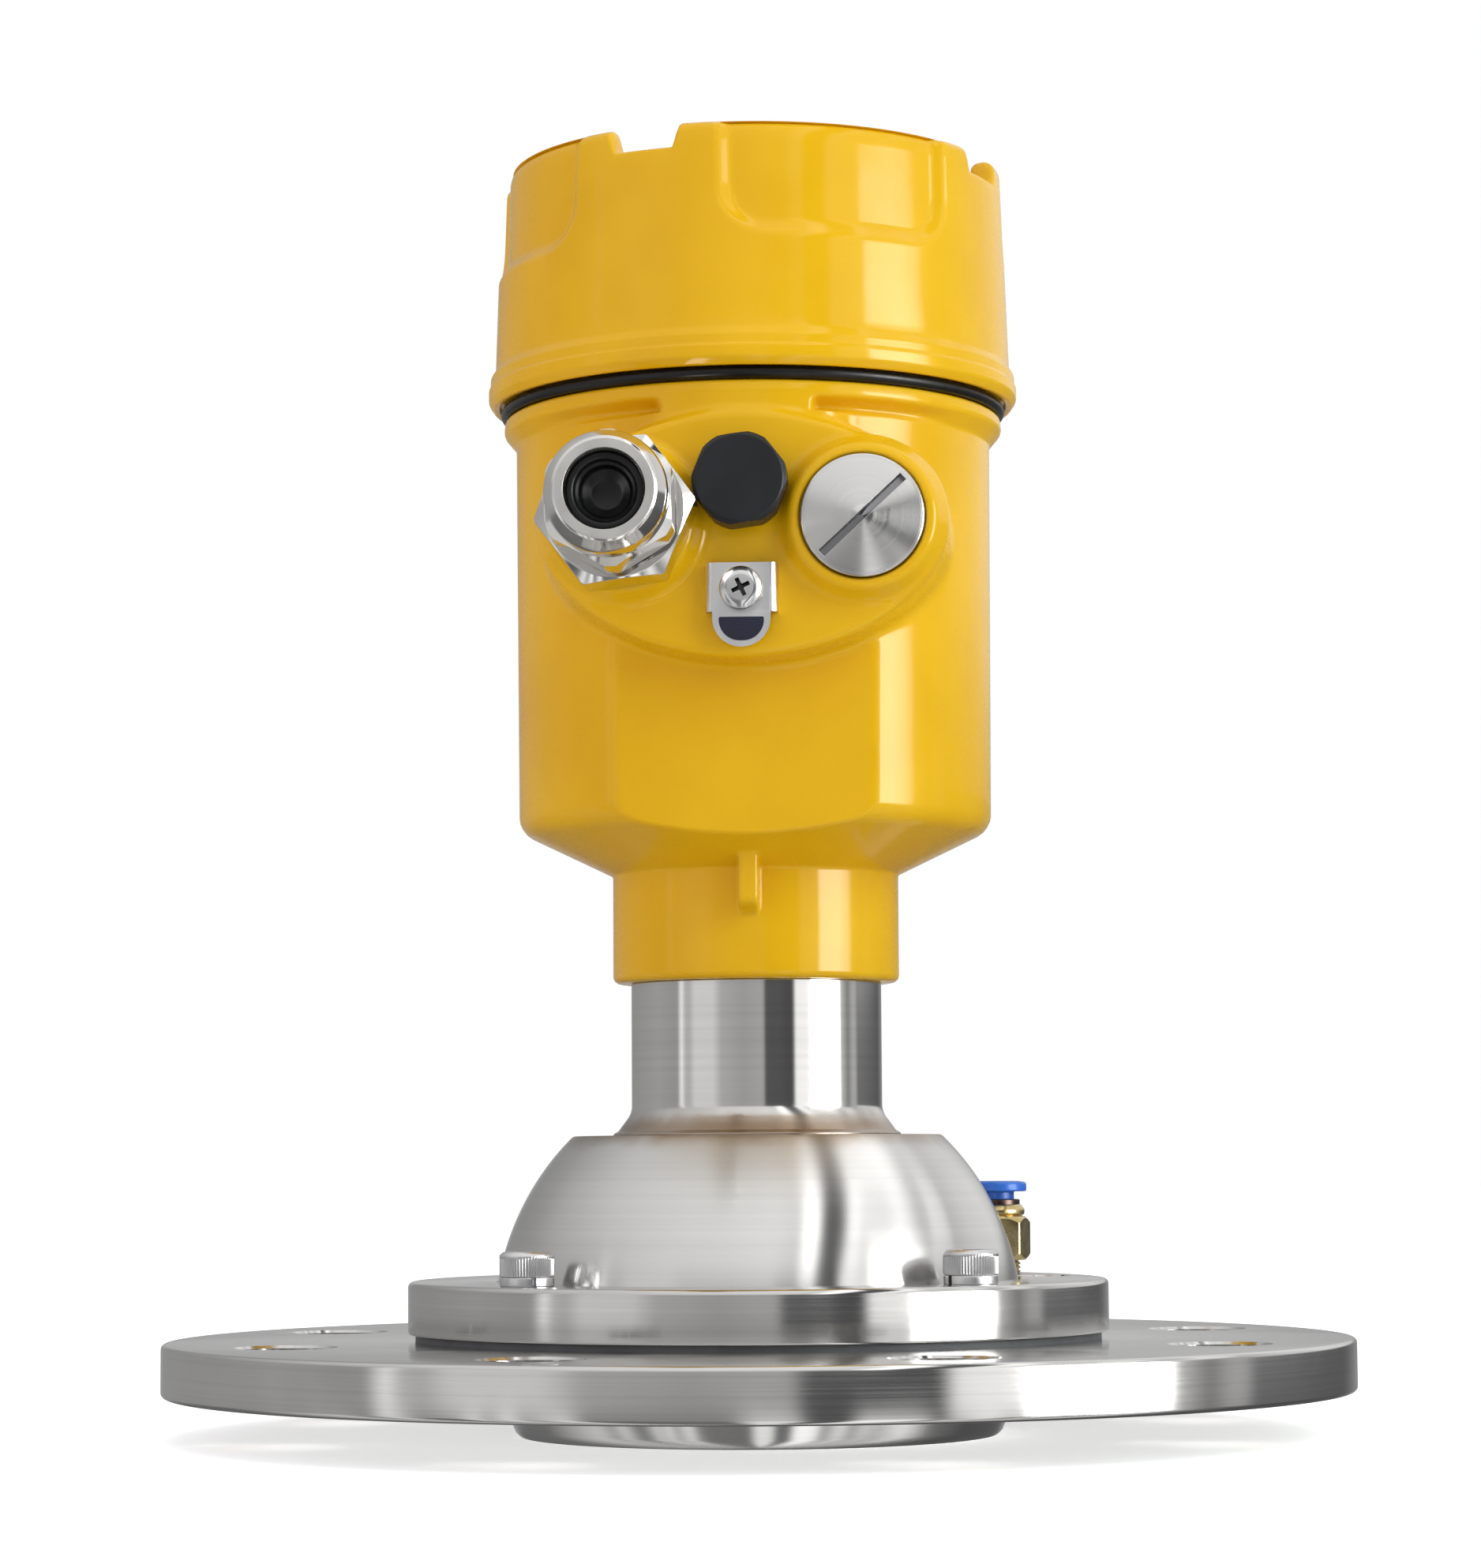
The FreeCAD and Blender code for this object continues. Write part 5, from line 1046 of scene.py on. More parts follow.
@dataclass
class Housing:
    """Cast housing: every outside surface flows into the next one."""

    bottom: float = 75.3
    neck: float = 26.7
    neck_top: float = 95.4
    foot: float = 44.15
    foot_z: float = 103.8
    top: float = 44.6
    ledge_z: float = 173.4
    collar: float = 46.9
    lip_foot: float = 176.0
    lip_z: float = 178.7
    collar_top: float = 181.2
    thread: float = 43.6
    thread_top: float = 194.7
    cavity: float = 40.6
    cavity_floor: float = 106.0
    bore: float = 21.58
    facet: float = 37.6
    facet_wall: float = 3.6
    pad: tuple[float, float] = (34.8, 22.0)
    pad_z: float = 153.4
    pad_face: float = 47.5
    entry: tuple[float, float] = (21.5, 155.6)
    boss: tuple[float, float, float] = (12.9, 51.5, 27.0)
    rib: tuple[float, float, float, float] = (1.8, 31.5, 87.4, 98.8)
    fine_z: tuple[float, float] = (128.6, 175.6)
    bridge: tuple[float, float] = (-19.4, 16.7)
    groove_z: float = 177.0
    groove_depth: float = 1.3
    curl_rows: float = 1.3
    front_arc: float = 120.0
    front_steps: int = 300
    back_steps: int = 64
    row: float = 0.375
    vent: tuple[float, float] = (161.8, 5.95)
    earth: tuple[float, float] = (142.9, 2.0)
    entry_bore: float = 10.05

    def build(self, bench: Bench) -> None:
        """Make the casting and dress what it holds."""
        bench.piece(self.casting(), "cast_housing", "head", Looks.paint, ["housing"], sharp=75)
        bench.dress(Looks.screws, "housing_lock_screw", "terminal_screws")
        bench.dress(Looks.vent, "electronics_module", "display_module")
        bench.dress(Looks.grey_plastic, "terminal_block")
        bench.dress(Looks.screen, "display_screen")
        bench.dress(Looks.keys, *["display_key_%d" % number for number in range(1, 5)])

    def spacing(self, radius: float, height: float) -> float:
        """Row spacing: fine where the pad, the rib and the collar shape the skin."""
        inside = radius < 24 or (height > 105 and radius < 42)
        if inside:
            return 12.0
        if self.fine_z[0] - 0.2 < height < 181.5:
            return self.row
        if 85 < height < 105:
            return 0.8
        return 3.0

    def casting(self) -> Form:
        """Turn the blank, then pull its skin onto the cast shape and drill it."""
        form = Form.turned([
            (self.bore, self.bottom, 0.4), (self.neck, self.bottom, 1.3), (self.neck, self.neck_top, 0.7),
            (self.foot, self.foot_z, 4.0), (44.31, 128.5), (self.top, self.lip_foot, 1.1),
            (self.collar, self.lip_z, 1.4), (self.collar - 0.2, self.collar_top, 0.9),
            (self.thread, self.collar_top), (self.thread, self.thread_top, 0.6),
            (self.cavity, self.thread_top, 0.4), (self.cavity, self.cavity_floor, 1.5),
            (23.2, self.cavity_floor), (23.2, 92.7), (self.bore, 92.7)],
            segments=4, spacing=self.spacing,
            arcs=((self.front_arc, self.front_steps), (360 - self.front_arc, self.back_steps)))
        form.turn(-90 - self.front_arc / 2)
        self.shape(form)
        x, z = self.entry
        drills = [Form.disc(self.entry_bore, 30, 53).to_front(side * x, z) for side in (-1, 1)]
        form.work(Work.CUT, *drills)
        recess = Form.turned([(0, 50.1), (11.2, 50.1), (11.2, 51.1), (11.6, 51.5), (11.6, 54), (0, 54)], 128)
        form.work(Work.CUT, recess.to_front(x, z))
        (vent_z, vent_bore), (earth_z, earth_bore) = self.vent, self.earth
        form.work(Work.CUT, Form.disc(vent_bore, 30, 50).to_front(0, vent_z),
                  Form.disc(earth_bore, 40.5, 50).to_front(0, earth_z))
        return form

    def shape(self, form: Form) -> None:
        """Move the turned skin onto the blended cast surface."""
        places = form.places()
        x, y, z = places.T.copy()
        radius = np.hypot(x, y)
        heading = np.arctan2(x, -y)
        away = np.degrees(np.abs(heading))
        half = self.front_arc / 2
        outer = ((radius > 25) & (z < 105)) | ((radius > 42.5) & (z < 181.3) & (z >= 105))
        band = outer & (away < half + 0.1) & (z > self.fine_z[0]) & (z < self.fine_z[1])
        skin = radius.copy()
        z[band], skin[band] = self.gather_rows(heading[band], z[band], radius[band])
        base = np.where(outer, self.turned_skin(skin, heading, z), skin)
        front = outer & (away < half) & (z > self.bottom + 3)
        solved = base.copy()
        solved[front] = self.solve(heading[front], z[front], base[front])
        solved = base + (solved - base) * (1 - smooth_step(away, half - 3, half))
        chamber = (radius > 30) & (radius < 41.5) & (z > 104) & (z < self.ledge_z) & (np.cos(heading) > 0)
        wall = (self.facet - self.facet_wall) / np.maximum(np.cos(heading), 0.1)
        solved = np.where(chamber, np.minimum(radius, wall), solved)
        scale = solved / np.maximum(radius, 1e-6)
        form.move_to(np.column_stack((x * scale, y * scale, z)))

    def gather_rows(self, heading: np.ndarray, z: np.ndarray,
                    radius: np.ndarray) -> tuple[np.ndarray, np.ndarray]:
        """Slide the rows of each column to where the cast surface is steep.

        Args:
            heading: Angle of each vertex from -Y, in radians.
            z: Height of each vertex.
            radius: Radius of each vertex on the turned blank.

        Returns:
            New heights, and the blank's radius at them.
        """
        levels, first, row = np.unique(np.round(z, 3), return_index=True, return_inverse=True)
        profile = radius[first]
        step = math.radians(self.front_arc / self.front_steps)
        column = np.round(heading / step).astype(int)
        column -= column.min()
        angles = (np.arange(column.max() + 1) * step - math.radians(self.front_arc / 2))[:, None]
        fine = np.linspace(levels[0], levels[-1], 1200)
        heights = np.broadcast_to(fine, (len(angles), len(fine)))
        base = self.turned_skin(np.interp(heights, levels, profile), angles, heights)
        reach = self.solve(np.broadcast_to(angles, base.shape), heights, base)
        rise = np.diff(reach, axis=1)
        slope = np.arctan2(rise, np.diff(fine))
        curl = np.abs(np.diff(slope, axis=1, append=slope[:, -1:]))
        length = np.cumsum(np.hypot(np.diff(fine), 0.45 * rise) + self.curl_rows * curl, axis=1)
        length = np.hstack((np.zeros((len(angles), 1)), length))
        share = (levels - levels[0]) / (levels[-1] - levels[0])
        moved = np.array([np.interp(share * line[-1], line, fine) for line in length])
        rows = np.pad(moved, ((2, 2), (0, 0)), mode="edge")
        weights = (0.1, 0.2, 0.4, 0.2, 0.1)
        moved = sum(weight * rows[shift:shift + len(moved)] for shift, weight in enumerate(weights))
        moved = levels + (moved - levels) * (1 - smooth_step(np.degrees(np.abs(angles)), 51, 59))
        heights = moved[column, row]
        return heights, np.interp(heights, levels, profile)

    def turned_skin(self, radius: np.ndarray, heading: np.ndarray, z: np.ndarray) -> np.ndarray:
        """Radius of the turned skin with the bridge from the pad up to the collar's lip."""
        turn = np.degrees(heading)
        left, right = self.bridge
        rise = smooth_step(z, 158, 167) * (z < self.collar_top - 1)
        below = (1 - smooth_step(np.abs(turn), 18, 27)) * (1 - smooth_step(z, 175.5, 176.5))
        joined = smooth_step(np.minimum(turn - left, right - turn), -1.2, 1.8)
        filled = np.maximum(radius, radius + (self.collar - 0.1 - radius) * rise * np.maximum(below, joined))
        groove = 1 - smooth_step(np.abs(z - self.groove_z), 0.0, 1.5)
        return filled - self.groove_depth * groove * (1 - joined) * (1 - smooth_step(np.abs(turn), 34, 60))

    def solve(self, heading: np.ndarray, z: np.ndarray, base: np.ndarray) -> np.ndarray:
        """Radius of the blended surface at each heading and height, found by halving."""
        low, high = np.full(base.shape, 18.0), np.full(base.shape, 80.0)
        for _ in range(24):
            middle = (low + high) / 2
            inside = self.distance(middle * np.sin(heading), middle * np.cos(heading), z, middle - base) < 0
            low = np.where(inside, middle, low)
            high = np.where(inside, high, middle)
        return (low + high) / 2

    def distance(self, x: np.ndarray, out: np.ndarray, z: np.ndarray, turned: np.ndarray) -> np.ndarray:
        """Signed distance to the front of the casting.

        Args:
            x: Sideways place.
            out: Place towards the front.
            z: Height.
            turned: Distance to the turned skin.

        Returns:
            Negative inside, positive outside.
        """
        limit = self.facet + np.maximum(z - 148, 0) * 1.3
        body = soft_max(turned * 0.95, out - limit, 0.7)
        half, tall = self.pad
        up = z - self.pad_z
        oval = np.sqrt((x / half) ** 2 + (up / tall) ** 2) + 1e-9
        slope = np.sqrt((x / half ** 2) ** 2 + (up / tall ** 2) ** 2) / oval + 1e-9
        draft = math.radians(3.5)
        side = (oval - 1) / slope * math.cos(draft) + (out - self.pad_face) * math.sin(draft)
        pad = soft_max(side, out - self.pad_face, 1.5)
        skin = soft_min(body, pad, 1.7)
        face_radius, face, boss_draft = self.boss
        lean = math.radians(boss_draft)
        for sign in (-1, 1):
            reach = np.hypot(x - sign * self.entry[0], z - self.entry[1])
            wall = (reach - face_radius) * math.cos(lean)
            wall += (np.maximum(out, self.pad_face - 0.8) - face) * math.sin(lean)
            skin = soft_min(skin, soft_max(wall, out - face, 0.9), 1.3)
        width, rib_reach, rib_low, rib_top = self.rib
        rib = soft_max(np.abs(x) - width, out - rib_reach, 0.9)
        rib = soft_max(rib, soft_max(rib_low + np.maximum(out - 29, 0) * 0.5 - z, z - rib_top, 0.8), 1.2)
        return soft_min(skin, rib, 0.8)


@dataclass
class CableGland:
    """Nickel-plated gland on the left entry, with its rubber insert."""

    x: float = -21.5
    z: float = 155.6
    face: float = 51.5
    gasket: float = 0.8
    flats: float = 24.9
    corners: float = 28.4
    length: float = 11.4
    hex_turn: float = 7.0
    spigot: float = 9.0
    nut_gap: float = 1.6
    nut_length: float = 20.4
    nut_flats: float = 21.6
    dome: float = 11.0
    nose: float = 8.55
    mouth: float = 6.65
    lip: float = 2.2

    def build(self, bench: Bench) -> None:
        """Make the body, the nut and the insert."""
        bench.piece(self.body().to_front(self.x, self.z), "gland_hexagon_body", "head", Looks.nickel,
                    ["gland_body"], edge=0.18)
        bench.piece(self.nut().to_front(self.x, self.z), "gland_dome_nut", "gland_nut", Looks.nickel,
                    ["gland_nut"], edge=0.14)
        bench.piece(self.insert().to_front(self.x, self.z), "gland_rubber_insert", "gland_sleeve",
                    Looks.rubber, ["gland_seal_insert"])
        bench.dress(Looks.rubber, "gland_gasket")
        bench.dress(Looks.vent, "gland_cage")

    @property
    def hex_front(self) -> float:
        """Front end of the body's hexagon."""
        return self.face + self.gasket + self.length

    def body(self) -> Form:
        """Entry thread, hexagon with a turned front, threaded spigot."""
        seat = self.face + self.gasket
        nut = chamfered_hexagon(self.flats, seat, self.hex_front, self.corners, 1.5).turn(self.hex_turn)
        thread = Form.disc(10.0, 34.7, seat + 0.5)
        front, crest, root = self.hex_front, self.spigot, self.spigot - 0.6
        profile = [(0, front - 0.5), (root, front - 0.5), (root, front + 0.5)]
        level = front + 0.5
        while level < front + 11:
            profile += [(crest, level + 0.35), (crest, level + 0.55), (root, level + 1.0)]
            level += 1.0
        spigot = Form.turned(profile + [(root, front + 12), (0, front + 12)], 128)
        nut.work(Work.JOIN, thread).work(Work.JOIN, spigot)
        step = front + self.nut_gap
        bore = Form.turned([(0, 33), (7.2, 33), (7.2, step), (8.1, step), (8.1, front + 13),
                            (0, front + 13)], 128)
        return nut.work(Work.CUT, bore)

    def nut(self) -> Form:
        """Hexagon behind, round barrel and a rounded nose with a flat ring."""
        back = self.hex_front + self.nut_gap
        front = back + self.nut_length
        flats = chamfered_hexagon(self.nut_flats, back, back + 11.5, 2 * self.dome + 1.8, 1.4, both=True)
        flats.turn(self.hex_turn + 24)
        barrel = Form.turned([
            (0, back + 0.5), (self.dome - 0.6, back + 0.5), (self.dome - 0.6, back + 11.2, 0.5),
            (self.dome - 0.35, back + 12.2, 0.6), (self.dome - 0.35, front - 3.2, 3.2),
            (self.nose + 0.5, front - 0.35, 0.5), (self.nose, front, 0.15), (0, front)], 160, segments=9)
        flats.work(Work.JOIN, barrel)
        clear, step, mouth = self.spigot + 0.3, self.hex_front + 12.3, self.mouth
        bore = Form.turned([
            (0, back - 1), (clear, back - 1), (clear, step), (8.1, step), (8.1, front - self.lip),
            (mouth, front - self.lip), (mouth, front - 0.5), (mouth + 0.4, front),
            (mouth + 0.4, front + 1), (0, front + 1)], 160)
        return flats.work(Work.CUT, bore)

    def insert(self) -> Form:
        """Stepped rubber bowl with a thin dished floor."""
        back = self.hex_front + self.nut_gap + 0.3
        front = self.hex_front + self.nut_gap + self.nut_length - self.lip - 0.3
        return Form.turned([
            (4.4, back), (6.8, back), (6.8, front, 0.4), (5.5, front, 0.5), (5.2, front - 1.1, 0.5),
            (4.6, front - 1.6, 0.4), (4.3, front - 3.0, 0.8), (2.6, front - 4.2, 1.5), (0, front - 4.6),
            (0, front - 5.6), (2.6, front - 5.4, 1.0), (4.4, front - 4.6, 0.6)], 128)


@dataclass
class FrontPlugs:
    """Blanking plug, vent plug and earth terminal on the pad."""

    entry: tuple[float, float] = (21.5, 155.6)
    seat: float = 50.1
    plug_radius: float = 11.0
    plug_height: float = 2.2
    slot: tuple[float, float, float] = (1.5, 1.5, 43.0)
    pad_face: float = 47.5
    vent_z: float = 161.8
    vent_flats: float = 16.0
    vent_corners: float = 16.9
    vent_height: float = 9.6
    vent_turn: float = 8.0
    earth_z: float = 142.9
    plate_half: float = 5.15
    ear_x: float = 6.4
    standoff: float = 3.4
    metal: float = 0.9
    cross: tuple[float, float, float] = (1.9, 0.42, 0.6)
    cross_taper: float = 0.72

    def build(self, bench: Bench) -> None:
        """Make the three fittings."""
        x, z = self.entry
        bench.piece(self.plug().to_front(x, z), "blanking_plug_faced", "head", Looks.plug, ["blanking_plug"],
                    edge=0.12)
        bench.piece(self.vent().to_front(0, self.vent_z), "vent_plug_moulded", "head", Looks.vent,
                    ["vent_plug"], edge=0.25)
        bench.piece(self.saddle(), "earth_saddle_pressed", "head", Looks.sheet_steel,
                    ["earth_saddle"], edge=0.12)
        bench.piece(self.label(), "earth_plate_enamel", "head", Looks.enamel, ["earth_label"])
        bench.piece(self.screw().to_front(0, self.earth_z), "earth_screw_pan", "head", Looks.earth_screw,
                    ["earth_screw"], edge=0.08)
        bench.dress(Looks.rubber, "vent_seal")
        bench.dress(Looks.ptfe, "vent_membrane")

    def plug(self) -> Form:
        """Round plug with one driver slot."""
        top = self.seat + self.plug_height
        width, depth, turn = self.slot
        plug = Form.turned([
            (0, self.seat - 9), (10, self.seat - 9), (10, self.seat), (self.plug_radius, self.seat),
            (self.plug_radius, top, 0.35), (0, top)], 192)
        bit = Form.block(2 * 9.9, width, top - depth, top + 1)
        return plug.work(Work.CUT, bit.turn(turn))

    def vent(self) -> Form:
        """Hexagon head on a round skirt."""
        foot = self.pad_face + 0.8
        top = self.pad_face + self.vent_height
        head = chamfered_hexagon(self.vent_flats, foot + 1.8, top, self.vent_corners, 0.9)
        end = self.pad_face - 10
        skirt = Form.turned([(0, end), (5.9, end), (5.9, foot), (7.4, foot, 0.3), (7.4, foot + 2.2),
                             (0, foot + 2.2)], 96)
        head.work(Work.JOIN, skirt)
        return head.turn(self.vent_turn)

    def saddle(self) -> Form:
        """Pressed saddle: folded ears and a round tongue."""
        front = self.pad_face + self.standoff
        inner, outer = self.ear_x - self.metal, self.ear_x
        low, high = 138.9, 147.6
        back = self.pad_face + 0.05
        fold = [(-outer, -back), (-outer, -front, 1.5), (outer, -front, 1.5), (outer, -back), (inner, -back),
                (inner, self.metal - front, 0.6), (-inner, self.metal - front, 0.6), (-inner, -back)]
        channel = Form.plate(fold, low, high)
        half = self.plate_half
        tongue = Form.plate([(-half, high - 4), (-half, 132.6, half - 0.05), (half, 132.6, half - 0.05),
                             (half, high - 4)], front - self.metal, front, segments=20)
        channel.work(Work.JOIN, tongue.turn(90, "X"))
        hole = Form.disc(2.0, self.pad_face, front + 1, 48).to_front(0, self.earth_z)
        return channel.work(Work.CUT, hole)

    def label(self) -> Form:
        """Bare enamel plate on the tongue."""
        front = self.pad_face + self.standoff
        half = 4.0
        plate = Form.plate([(-half, 137.9, 0.3), (-half, 133.7, half - 0.3), (half, 133.7, half - 0.3),
                            (half, 137.9, 0.3)], front, front + 0.15, segments=14)
        return plate.turn(90, "X")

    def screw(self) -> Form:
        """Pan head with a cross recess."""
        seat = self.pad_face + self.standoff
        top = seat + 2.6
        tip = self.pad_face - 6.5
        screw = Form.turned([(0, tip), (1.95, tip), (1.95, seat), (3.9, seat, 0.25),
                             (3.9, top - 0.9, 0.8), (2.7, top - 0.05, 1.6), (0, top)], 96, segments=7)
        arm, side, inner = self.cross
        cross = Form.plate([
            (-arm, -side), (-inner, -side), (-side, -inner), (-side, -arm), (side, -arm), (side, -inner),
            (inner, -side), (arm, -side), (arm, side), (inner, side), (side, inner), (side, arm),
            (-side, arm), (-side, inner), (-inner, side), (-arm, side)], top - 1.8, top + 1)
        for vert in cross.mesh.verts:
            if vert.co.z < top:
                vert.co.x *= self.cross_taper
                vert.co.y *= self.cross_taper
        return screw.work(Work.CUT, cross.turn(25))


@dataclass
class ScrewCover:
    """Screw cover with grip pockets, notched rim and a sight glass."""

    skirt_z: float = 183.5
    seat_z: float = 184.3
    bead: float = 49.8
    bead_top: float = 189.6
    wall_foot: float = 48.4
    wall_top: float = 47.2
    top: float = 228.3
    floor: float = 221.0
    floor_under: float = 217.0
    rim_inner: float = 42.6
    glass_hole: float = 27.0
    glass: float = 31.05
    cavity: float = 42.6
    bore: float = 43.9
    pocket_angle: float = 23.0
    pocket_half: float = 21.8
    pocket_low: float = 208.0
    pocket_depth: float = 1.6
    pocket_corner: float = 8.0
    notch_half: float = 6.3
    notch_depth: float = 4.3
    seal_ring: tuple[float, float, float] = (46.3, 182.5, 1.2)

    def build(self, bench: Bench) -> None:
        """Make the cover and the sealing ring, dress the glass and its ring."""
        bench.piece(self.cover(), "screw_cover_cast", "screw_cover", Looks.paint, ["cover"], sharp=60)
        bench.piece(self.seal(), "cover_sealing_ring", "cover_ring", Looks.rubber, ["cover_o_ring"])
        bench.dress(Looks.glass, "sight_glass")
        bench.dress(Looks.rubber, "glass_gasket")
        bench.dress(Looks.aluminium, "glass_retaining_ring")

    def wall(self, height: float) -> float:
        """Radius of the tapered wall at a height."""
        share = (height - self.bead_top - 0.9) / (self.top - self.bead_top - 0.9)
        return self.wall_foot + 0.1 + (self.wall_top - self.wall_foot - 0.1) * share

    def spacing(self, radius: float, height: float) -> float:
        """Row spacing: fine round the pockets' lower edge."""
        if radius < 46 and not (radius > 42 and height > 220):
            return 14.0
        if 205 < height < 212.5:
            return 0.38
        return 1.6

    def cover(self) -> Form:
        """Turn the cover, then press its pockets and notches in."""
        form = Form.turned([
            (self.glass_hole, self.floor_under), (self.glass, self.floor_under), (self.glass, 206.5),
            (34.65, 206.5, 0.5), (34.65, self.floor_under, 1.0), (self.cavity, self.floor_under, 2.0),
            (self.cavity, 197.9), (self.bore, 197.9), (self.bore, self.seat_z), (47.7, self.seat_z),
            (47.7, self.skirt_z, 0.2), (48.8, self.skirt_z - 0.1, 0.5), (self.bead, self.skirt_z + 1.3, 1.3),
            (self.bead, 186.9, 0.5), (self.bead - 0.35, 187.4, 0.4),
            (self.bead - 0.35, self.bead_top - 0.6, 0.9), (self.wall_foot + 0.1, self.bead_top + 0.9, 1.0),
            (self.wall(205.0), 205.0), (self.wall(212.5), 212.5), (self.wall_top, self.top, 2.1),
            (self.rim_inner, self.top, 1.6), (self.rim_inner, self.floor, 1.0),
            (self.glass_hole, self.floor, 0.7)], steps=720, segments=4, spacing=self.spacing)
        places = form.places()
        x, y, z = places.T
        radius = np.hypot(x, y)
        heading = np.degrees(np.arctan2(x, -y))
        wall = (radius > 45.2) & (z > 191)
        rim = (radius > self.rim_inner - 1.2) & (z > self.floor + 0.6)
        sink = np.zeros_like(z)
        drop = np.zeros_like(z)
        for index in range(4):
            centre = self.pocket_angle + 90 * index
            away = np.radians((heading - centre + 180) % 360 - 180)
            side = radius * np.sin(away)
            ahead = np.cos(away) > 0
            across = np.abs(side) - (self.pocket_half - self.pocket_corner)
            down = (self.pocket_low + self.pocket_corner) - z
            edge = (np.hypot(np.maximum(across, 0), np.maximum(down, 0))
                    + np.minimum(np.maximum(across, down), 0) - self.pocket_corner)
            inside = soft_ramp(-edge, -0.5, 1.75, 0.42)
            sink = np.maximum(sink, np.where(wall & ahead, inside, 0))
            away = np.radians((heading - centre - 45 + 180) % 360 - 180)
            side = np.abs(radius * np.sin(away))
            gap = 1 - smooth_step(side, self.notch_half - 0.75, self.notch_half + 0.75)
            drop = np.maximum(drop, np.where(rim & (np.cos(away) > 0), gap, 0))
        scale = 1 - sink * self.pocket_depth / np.maximum(radius, 1)
        places[:, 0] *= scale
        places[:, 1] *= scale
        share = np.clip((z - self.floor - 0.6) / (self.top - self.floor - 0.6), 0, 1)
        places[:, 2] -= drop * self.notch_depth * share
        return form.move_to(places)

    def seal(self) -> Form:
        """Round rubber ring between housing and cover."""
        radius, height, cord = self.seal_ring
        turns = [FULL_TURN * index / 20 for index in range(20)]
        return Form.turned([(radius + cord * math.cos(turn), height + cord * math.sin(turn))
                            for turn in turns], 288)


@dataclass
class Studio:
    """Camera, pale floor and soft light."""

    camera_at: Triple = (0.03474, -0.79435, 0.04247)
    heading: float = 2.7
    pitch: float = 5.053
    roll: float = -0.352
    lens: float = 97.61
    sensor: float = 36.0
    floor_z: float = -8.1
    floor_glow: float = 0.55
    target: Triple = (0.0, 0.0, 0.11)
    world_light: float = 0.5
    sky_lean: float = 41.0
    low_sky: tuple[tuple[float, float], ...] = (
        (-180, 0.6), (-160, 0.32), (-130, 0.42), (-100, 0.5), (-75, 0.45), (-70.5, 1.3), (-66.5, 0.7),
        (-62, 0.66), (-56, 0.95), (-38, 0.92), (-30, 0.6), (-10, 0.5), (8, 0.56), (11, 0.13), (36, 0.1),
        (39, 1.4), (53, 1.5), (55.5, 15.0), (72, 15.0), (81, 9.0), (86, 0.8), (95, 0.32), (101, 0.6),
        (105, 0.6), (109, 0.22), (150, 0.13), (172, 0.35), (180, 0.6))
    high_sky: tuple[tuple[float, float], ...] = (
        (-180, 0.3), (-120, 0.42), (-60, 0.7), (-20, 0.9), (8, 1.02), (14, 0.9), (16.5, 1.9), (20, 2.0),
        (21.5, 0.08), (29, 0.08), (31, 1.7), (34, 1.5), (37, 0.95), (47, 0.8), (52, 1.15), (58, 1.0),
        (63, 0.7), (70, 0.75), (74, 1.15), (84, 1.05), (90, 0.7), (110, 0.9), (140, 1.0), (180, 0.5))
    under_sky: tuple[tuple[float, float], ...] = (
        (-180, 0.2), (-120, 0.3), (-84, 1.3), (-76, 0.3), (-70, 1.8), (-64, 0.2), (-56, 0.25), (-52, 2.2),
        (-49, 0.15), (-45, 2.4), (-42, 0.2), (-34, 2.0), (-30, 0.3), (-16, 0.35), (-3, 0.32), (2, 1.8),
        (9, 1.7), (12, 0.25), (19, 0.18), (22, 2.4), (33, 2.2), (36, 0.3), (46, 1.9), (52, 0.35),
        (58, 1.6), (66, 0.5), (80, 1.6), (96, 0.35), (120, 0.15), (180, 0.2))

    def build(self) -> None:
        """Set the whole studio up."""
        self.camera()
        self.floor()
        self.world()
        self.lamp("key_softbox", 60, 27, 1.7, 1.2, 18.0, (0.87, 1.0, 0.93))
        self.lamp("fill_softbox", -55, 15, 1.8, 1.7, 9.0, (1.0, 0.86, 0.92))
        self.lamp("top_softbox", 0, 78, 1.9, 1.8, 9.0, (1.0, 1.0, 1.0))
        view = bpy.context.scene.view_settings
        view.view_transform = "Standard"

    def camera(self) -> None:
        """Camera where the photograph was taken from."""
        data = bpy.data.cameras.new("camera")
        data.lens = self.lens
        data.sensor_width = self.sensor
        data.clip_end = 50.0
        camera = put_in_scene("camera", data)
        turn = (Matrix.Rotation(math.radians(self.heading), 4, "Z")
                @ Matrix.Rotation(math.radians(90 + self.pitch), 4, "X")
                @ Matrix.Rotation(math.radians(self.roll), 4, "Z"))
        camera.matrix_world = Matrix.Translation(self.camera_at) @ turn
        bpy.context.scene.camera = camera

    def floor(self) -> None:
        """Wide white floor that keeps the object's shadow."""
        form = Form()
        bmesh.ops.create_grid(form.mesh, x_segments=1, y_segments=1, size=6000)
        form.shift(z=self.floor_z)
        mesh = form.hand_over("floor")
        sheet = MaterialSheet("look_floor")
        tone = sheet.blend(sheet.noise(sheet.place(), 1.5), shade("F7F7F6"), shade("FAFAFA"))
        sheet.set(Base_Color=tone, Roughness=0.9, Specular_IOR_Level=0.0)
        glow = sheet.add("ShaderNodeEmission")
        seen = sheet.add("ShaderNodeLightPath").outputs["Is Camera Ray"]
        sheet.feed(glow.inputs["Strength"], sheet.maths("MULTIPLY", seen, self.floor_glow))
        both = sheet.add("ShaderNodeAddShader")
        sheet.feed(both.inputs[0], sheet.surface.outputs[0])
        sheet.feed(both.inputs[1], glow.outputs[0])
        sheet.feed(sheet.output.inputs["Surface"], both.outputs[0])
        mesh.materials.append(sheet.material)
        floor = put_in_scene("floor", mesh)
        floor.visible_glossy = False

